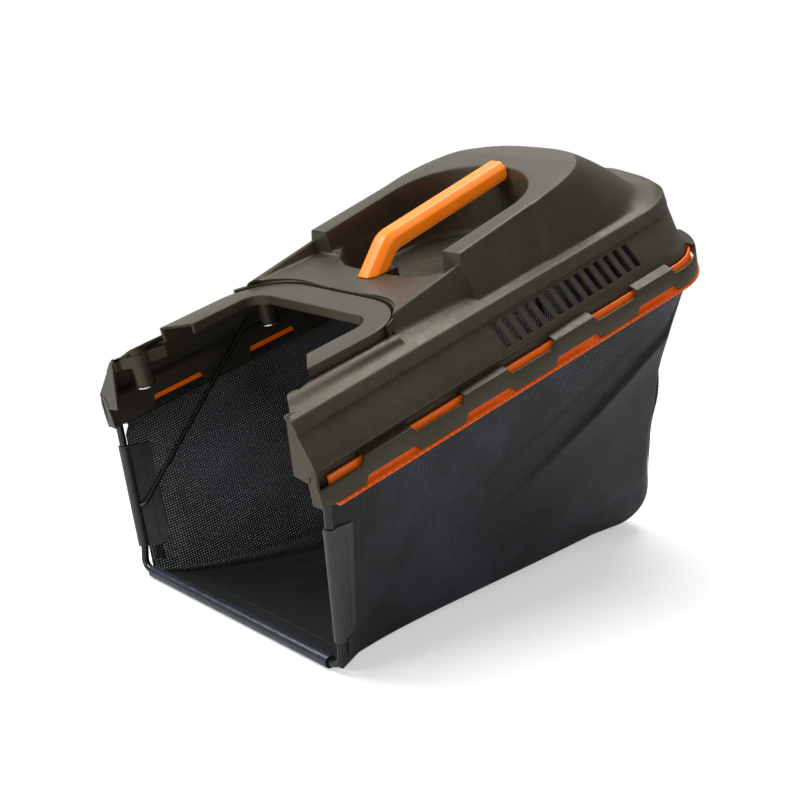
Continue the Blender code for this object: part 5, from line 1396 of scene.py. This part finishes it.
@dataclass
class Bag:
    """Mesh bag: two side panels, a rear panel, a coated floor, corner webbing and seam tapes."""

    mouth: MouthFrame
    mesh: float = 0.0014
    floor: float = 0.0016
    foot_x: float = 0.110
    taper: float = 0.075
    flare: float = 0.034
    flare_reach: float = 0.070
    foot_corner: float = 0.045
    rear_y: float = 0.6015
    round_side: float = 0.008
    round_rear: float = 0.058
    waist: float = 0.42
    flat_row: float = 0.070
    fold_depth: float = 0.0075
    seam_row: float = 1.5
    seam_gap: float = 0.0016
    tape: float = 0.0004
    tape_rise: float = 0.0012
    tape_reach: float = 0.045
    patch: float = 0.0006
    patch_rise: float = 0.0020
    floor_inset: float = 0.0029
    floor_wave: float = 0.0006
    floor_lap: float = 0.0023
    folds: tuple[Fold, ...] = (Fold((1.15, 0.06), (0.45, 0.62), 1.0, 0.022),
                               Fold((1.30, 0.34), (1.0, 0.62), 0.7, 0.022),
                               Fold((0.95, 0.10), (0.30, 0.45), 0.28, 0.05))

    def foot_line(self, t: Points, inset: Any = 0.0) -> Points:
        """Foot line of the bag on the ground, moved in by inset, at row parameters.

        The side's half width is foot_x plus a taper and a flare that dies away behind the
        mouth as exp(-y / reach); the corner is a quarter circle and the rear straight.
        """
        t = np.asarray(t, float)
        inset = np.broadcast_to(np.asarray(inset, float), t.shape)
        corner = np.maximum(self.foot_corner - inset, 0.006)
        start = self.rear_y - inset - corner

        def width(y: Any) -> Any:
            return (self.foot_x + self.taper * (self.rear_y - self.foot_corner - y)
                    + self.flare * np.exp(-y / self.flare_reach))

        front = self.mouth.tube + 3 * self.mouth.gap
        y = front + (start - front) * t
        end = width(start) - inset
        turn = np.clip(t - 1, 0, 1) * np.pi / 2
        side = np.stack([width(y) - inset, y], -1)
        bend = np.stack([end - corner * (1 - np.cos(turn)), start + corner * np.sin(turn)], -1)
        back = np.stack([(end - corner) * (3.0 - t), self.rear_y - inset], -1)
        return np.where((t <= 1)[..., None], side, np.where((t <= 2)[..., None], bend, back))

    def foot_round(self, t: Points) -> Points:
        """Rounding of the foot, growing from the mouth to the rear."""
        share = np.clip((np.asarray(t, float) - 0.1) / 0.8, 0.0, 1.0)
        return self.round_side + (self.round_rear - self.round_side) * share ** 1.3

    def floor_z(self, y: Points) -> Points:
        """Height of the foot: up at the bar, then (1 - y / 50 mm)^2 down to the ground."""
        return self.mouth.bar_z * (1 - np.clip(y / 0.050, 0.0, 1.0)) ** 2

    def clamped(self, t: Points, w: float) -> Points:
        """Points of the clamped edge at a cover height, in ground measures."""
        start = side_row(STRIP_START_U)
        rows = np.where(t < 1, start + t * (1 - start), t)
        line = BAND_LINE.inside(CHANNEL - self.mouth.gap - self.mesh).points(rows)
        edge = np.concatenate([line, np.full(line.shape[:-1] + (1,), w)], -1)
        return cover_to_world(edge) + [0, Y_CENTRE, 0]

    def loose(self, t: Points, v: Points) -> Points:
        """Outer surface from under the strip (v = 0) to the foot's rounding (v = 1)."""
        top = self.clamped(t, STRIP_FOOT_W - 0.001)
        foot = self.foot_line(t)
        base = self.floor_z(foot[..., 1]) + self.foot_round(t)
        pull = np.clip((t - 0.70) / 0.6, 0.0, 1.0) ** 2
        early = 1 - (1 - np.minimum(1.0, v / self.waist)) ** 1.6
        share = (1 - pull) * v + pull * early
        z = top[..., 2] + (base - top[..., 2]) * v
        return np.stack([top[..., 0] + (foot[..., 0] - top[..., 0]) * share,
                         top[..., 1] + (foot[..., 1] - top[..., 1]) * share, z], -1)

    def surface(self, t: Points, v: Points) -> Points:
        """The loose surface, pulled straight towards the upright near the mouth."""
        far = self.loose(np.full_like(t, self.flat_row), v)
        centre = self.mouth.upright(far[..., 2]) + [self.mesh / 2, 0, 0]
        behind = unit(far - centre)
        start = centre + behind * (self.mouth.tube + 3 * self.mouth.gap)
        edge = self.loose(np.zeros_like(t), v)
        start = edge + (start - edge) * np.minimum(1.0, v / 0.12)[..., None]
        near = start + (far - start) * (t / self.flat_row)[..., None]
        return np.where((t >= self.flat_row)[..., None], self.loose(t, v), near)

    def swell(self, t: Points, v: Points) -> Points:
        """How far the cloth stands out: two sharp folds, a faint soft one and shallow pulls.

        The pulls are products of slow sines that vanish at the edges.
        """
        total = sum(fold.rise(t, v) for fold in self.folds)
        edge = ramp(v, 0.0, 0.12) * ramp(1 - v, 0.0, 0.10) * ramp(t, 0.10, 0.22) * ramp(3.05 - t, 0.0, 0.2)
        run = np.minimum(t, 1.0) + 0.35 * np.clip(t - 1, 0.0, 1.0) + 0.25 * np.clip(t - 2, 0.0, 1.0)
        pulls = (0.11 * np.sin(17 * run + 7 * v) * np.sin(11 * v + 2 * run)
                 + 0.05 * np.sin(37 * run - 14 * v + 1.0) * np.sin(9 * v))
        return self.fold_depth * (np.minimum(1.0, total) + pulls * edge)

    def columns(self, t: Points) -> Points:
        """Outer surface of the bag from the clamped edge down round the foot.

        Args:
            t: row parameters.

        Returns:
            Array (rows, points, 3) in ground measures.
        """
        v = np.concatenate([np.linspace(0.0, 0.14, 8), np.linspace(0.155, 1.0, 70)])
        grid_t, grid_v = np.meshgrid(t, v, indexing="ij")
        body = self.surface(grid_t, grid_v)
        ahead = unit(self.foot_line(np.minimum(3.0, t + 0.01)) - self.foot_line(np.maximum(0.0, t - 0.01)))
        out = np.stack([ahead[:, 1], -ahead[:, 0], np.zeros(len(t))], -1)
        body = body + out[:, None] * self.swell(grid_t, grid_v)[..., None]
        upper = np.stack([self.clamped(t, w) for w in (0.1965, 0.194, 0.1895)], 1)
        radius = self.foot_round(t)
        inner = np.concatenate([self.foot_line(t, radius) - self.foot_line(t), np.zeros((len(t), 1))], 1)
        turn = np.radians(np.linspace(0, 90, 12)[1:])
        last = body[:, -1]
        foot = (last[:, None] + inner[:, None] * (1 - np.cos(turn))[None, :, None]
                - np.array([0, 0, 1.0]) * (radius[:, None] * np.sin(turn)[None])[..., None])
        hem = foot[:, -1] + unit(inner) * 0.002
        return np.concatenate([upper, body, foot, hem[:, None]], 1)

    def panel_direction(self, z: Points) -> Points:
        """Plan direction of a side panel's first part behind the upright at heights."""
        v = np.linspace(0.0, 1.0, 60)
        ends = []
        for row in (0.0, self.flat_row):
            line = self.surface(np.full(60, row), v)
            order = np.argsort(line[:, 2])
            ends.append(np.stack([np.interp(z, line[order, 2], line[order, k]) for k in (0, 1)], -1))
        return unit(ends[1] - ends[0])

    def on_side(self, grid: Points, side: int) -> Points:
        """A right-hand grid in the part's frame, mirrored with its rows turned round on the left."""
        return ground_to_world(grid if side > 0 else grid[::-1] * [-1, 1, 1])

    def dress_sheet(self, shop: Workshop, name: str, grid: Points, finish: Any, slot: str,
                    nodes: Sequence[str], thickness: float) -> None:
        """Args:
            shop: places the piece.
            name: its name.
            grid: its outer surface in the part's frame.
            finish: its cloth.
            slot: the record's material slot.
            nodes: the CAD nodes that it stands for.
            thickness: the cloth's thickness.
        """
        piece = mesh_from(name, [Shell.slab(grid, thickness)])
        smooth(piece, 60.0)
        shop.place(piece, finish, slot, nodes)

    def build(self, shop: Workshop) -> None:
        """Make the panels, the floor, the seam tapes and the webbing."""
        rows = np.concatenate([np.linspace(0, self.flat_row, 5), np.linspace(0.085, 1.0, 110),
                               np.linspace(1.0, self.seam_row - self.seam_gap, 34)[1:]])
        panel = self.columns(rows)
        tape = self.columns(self.seam_row + np.linspace(-self.tape_reach, self.tape_reach, 7))[:, 3:]
        normal = unit(np.cross(np.gradient(tape, axis=1), np.gradient(tape, axis=0)))
        tape = tape + normal * self.tape_rise
        tape[..., 2] = np.maximum(tape[..., 2], self.tape)
        for side, word in ((1, "right"), (-1, "left")):
            slot = "mesh_fabric_" + word
            self.dress_sheet(shop, "mesh_panel_" + word, self.on_side(panel, side), SIDE_MESH, slot,
                             ["mesh_side_" + word], self.mesh)
            self.dress_sheet(shop, "seam_tape_" + word, self.on_side(tape, side), WEBBING, slot,
                             [], self.tape)
            self.build_webbing(shop, side, word)
        half = self.columns(np.concatenate([np.linspace(self.seam_row + self.seam_gap, 2.0, 34),
                                            np.linspace(2.0, 3.0, 24)[1:]]))
        self.dress_sheet(shop, "mesh_panel_rear", ground_to_world(mirror_half(half)), REAR_MESH,
                         "mesh_fabric_rear", ["mesh_rear"], self.mesh)
        self.build_floor(shop)

    def build_webbing(self, shop: Workshop, side: int, word: str) -> None:
        """Webbing patch on the lower front corner of a side panel."""
        z = np.linspace(self.mouth.sleeve_foot - 0.002, self.mouth.sleeve_foot - 0.0196, 12)
        v = np.linspace(0.0, 1.0, 80)
        grid = []
        for row in np.linspace(0.012, 0.0324, 8):
            line = self.surface(np.full(80, row), v)
            order = np.argsort(line[:, 2])
            plan = [np.interp(z, line[order, 2], line[order, k]) for k in (0, 1)]
            grid.append(np.column_stack(plan + [z]))
        points = np.array(grid) + [self.patch_rise, 0, 0]
        self.dress_sheet(shop, "corner_patch_" + word, self.on_side(points, side), WEBBING,
                         "webbing_fabric_" + word, ["corner_webbing_" + word], self.patch)

    def build_floor(self, shop: Workshop) -> None:
        """Coated floor from the slit of the bar's sleeve to the rear, with a sewn line near the bar.

        Its sides and its rear lap over the panels' hems, growing to 2.5 mm behind the bar.
        """
        front = self.mouth.tube + 2 * self.mouth.gap
        edge = self.mouth.sleeve_half - 0.002
        across = np.linspace(-1, 1, 41)
        t = np.concatenate([np.linspace(0.03, 1.0, 90), np.linspace(1.0, 2.0, 40)[1:]])
        line = self.foot_line(t, self.foot_round(t) + self.floor_inset)
        share = np.clip((t - 0.03) / 0.05, 0.0, 1.0)
        y = np.concatenate([[front, front + 0.0042], line[:, 1]])
        half = np.concatenate([[edge, edge], edge + (line[:, 0] - edge) * share])
        level = self.mouth.bar_z + self.floor / 2
        z = np.concatenate([[level, level], self.floor_z(line[:, 1]) + self.floor])
        waves = self.floor_wave * np.abs(np.sin(across * 9)) * ramp(y, 0.05, 0.2)[:, None]
        grid = np.stack([half[:, None] * across, np.broadcast_to(y[:, None], waves.shape),
                         z[:, None] + waves], -1)
        lap = self.floor_lap * np.concatenate([[0.0, 0.0], share])[:, None]
        left, right = (grid[:, k] + np.hstack([side * (lap + 0.0002), 0 * lap, 0.7 * lap])
                       for k, side in ((0, -1), (-1, 1)))
        grid = np.concatenate([left[:, None], grid, right[:, None]], 1)
        grid = np.concatenate([grid, grid[-1:] + [0.0, 0.0025, 0.0016]])
        self.dress_sheet(shop, "floor_cloth", ground_to_world(grid), FLOOR_CLOTH, "floor_fabric",
                         ["floor_sheet"], self.floor)
        x = np.linspace(-0.150, 0.150, 90)
        y = np.full(90, 0.036)
        z = self.floor_z(y) + self.floor + 0.00035
        seam = Stitching(pitch=0.0042, length=0.0030, width=0.0010)
        seam.build(shop, "floor_stitch", ground_to_world(np.column_stack([x, y, z])),
                   np.tile([0.0, 0.0, 1.0], (90, 1)), "floor_fabric", PALE_THREAD)


@dataclass
class Studio:
    """White floor, soft lamps, world and the camera at the photograph's viewing angle."""

    azimuth: float = 49.2
    elevation: float = 14.12
    position: tuple[float, float, float] = (1.2648, -0.8487, 0.6328)
    lens: float = 65.25
    daylight: float = 0.30
    floor_glow: float = 0.46
    floor_fade: tuple[float, float] = (0.55, 0.95)
    lamps: tuple[tuple[str, tuple[float, float, float], float, float], ...] = (
        ("key", (-1.1, -1.0, 1.9), 1.2, 36.0), ("top", (-0.3, 0.7, 2.2), 1.3, 34.0),
        ("back", (-1.6, 0.9, 1.35), 2.0, 7.0), ("front", (-0.2, -2.0, 0.7), 1.0, 9.0),
        ("fill", (2.0, 0.2, 0.7), 1.4, 3.0))

    def build(self) -> None:
        """Make the camera, the lamps, the world and the floor."""
        a, e = math.radians(self.azimuth), math.radians(self.elevation)
        back = Vector((math.sin(a) * math.cos(e), -math.cos(a) * math.cos(e), math.sin(e)))
        data = bpy.data.cameras.new("camera")
        data.lens = self.lens
        camera = bpy.data.objects.new("camera", data)
        camera.location = Vector(self.position) - Vector((0, Y_CENTRE, 0))
        camera.rotation_mode = "QUATERNION"
        camera.rotation_quaternion = back.to_track_quat("Z", "Y")
        bpy.context.scene.collection.objects.link(camera)
        bpy.context.scene.camera = camera
        for name, place, size, power in self.lamps:
            lamp = bpy.data.lights.new(name, "AREA")
            lamp.shape = "DISK"
            lamp.size = size
            lamp.energy = power
            light = bpy.data.objects.new(name, lamp)
            light.location = place
            light.rotation_mode = "QUATERNION"
            light.rotation_quaternion = (Vector(place) - Vector((0, 0, 0.2))).to_track_quat("Z", "Y")
            bpy.context.scene.collection.objects.link(light)
        self.build_world()
        self.build_floor()
        bpy.context.scene.view_settings.view_transform = "Standard"

    def build_world(self) -> None:
        """White to the camera and in gloss, a soft grey as light."""
        world = bpy.data.worlds.new("studio")
        bpy.context.scene.world = world
        world.use_nodes = True
        tree = world.node_tree
        tree.nodes.clear()
        path = add_node(tree, "ShaderNodeLightPath")
        rays = {0: path.outputs["Is Camera Ray"], 1: path.outputs["Is Transmission Ray"]}
        seen = add_node(tree, "ShaderNodeMath", rays, operation="MAXIMUM")
        strength = add_node(tree, "ShaderNodeMapRange", {0: seen.outputs[0], 3: self.daylight, 4: 1.0})
        light = add_node(tree, "ShaderNodeBackground", {0: (1.0, 1.0, 1.0, 1.0), 1: strength.outputs[0]})
        output = add_node(tree, "ShaderNodeOutputWorld", {0: light.outputs[0]})
        output.is_active_output = True

    def build_floor(self) -> None:
        """Wide pale floor that keeps the catcher's shadow and is white elsewhere to the camera."""
        made, tree, output = new_material("white_floor")
        path = add_node(tree, "ShaderNodeLightPath")
        matt = add_node(tree, "ShaderNodeBsdfDiffuse", {0: (0.80, 0.80, 0.81, 1.0)})
        glow = add_node(tree, "ShaderNodeEmission", {0: (1.0, 1.0, 1.0, 1.0), 1: self.floor_glow})
        both = add_node(tree, "ShaderNodeAddShader", {0: matt.outputs[0], 1: glow.outputs[0]})
        place = add_node(tree, "ShaderNodeTexCoord").outputs["Object"]
        away = add_node(tree, "ShaderNodeVectorMath", {0: place}, operation="LENGTH").outputs[1]
        near, end = self.floor_fade
        far = add_node(tree, "ShaderNodeMapRange", {0: away, 1: near, 2: end, 3: 0.0, 4: 1.0},
                       interpolation_type="SMOOTHSTEP")
        white = add_node(tree, "ShaderNodeEmission", {0: (1.0, 1.0, 1.0, 1.0), 1: 1.0})
        plain = add_node(tree, "ShaderNodeMixShader", {0: far.outputs[0], 1: both.outputs[0],
                                                       2: white.outputs[0]})
        shown = add_node(tree, "ShaderNodeMixShader", {0: path.outputs["Is Camera Ray"], 1: matt.outputs[0],
                                                       2: plain.outputs[0]})
        tree.links.new(shown.outputs[0], output.inputs[0])
        mesh = bpy.data.meshes.new("studio_floor")
        mesh.from_pydata([(-30, -30, 0), (30, -30, 0), (30, 30, 0), (-30, 30, 0)], [], [(0, 1, 2, 3)])
        mesh.materials.append(made)
        floor = bpy.data.objects.new("studio_floor", mesh)
        bpy.context.scene.collection.objects.link(floor)


def dress_hardware(shop: Workshop) -> None:
    """Give the CAD washers and screws their plated finish."""
    for name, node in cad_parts.items():
        if name.startswith(("boss_", "handle_screw")):
            node.data.materials.clear()
            node.data.materials.append(shop.look(ZINC))
            LOG.info("%s keeps its CAD shape", name)


def main() -> None:
    """Build the catcher piece by piece, then the studio."""
    logging.basicConfig(level=logging.INFO, format="%(message)s")
    shop = Workshop()
    mouth = MouthFrame()
    bag = Bag(mouth)
    cover = Cover()
    Studio().build()
    cover.build(shop)
    ClampStrip().build(shop, cover)
    CarryHandle().build(shop)
    mouth.build(shop, bag)
    bag.build(shop)
    dress_hardware(shop)


if __name__ == "__main__":
    main()
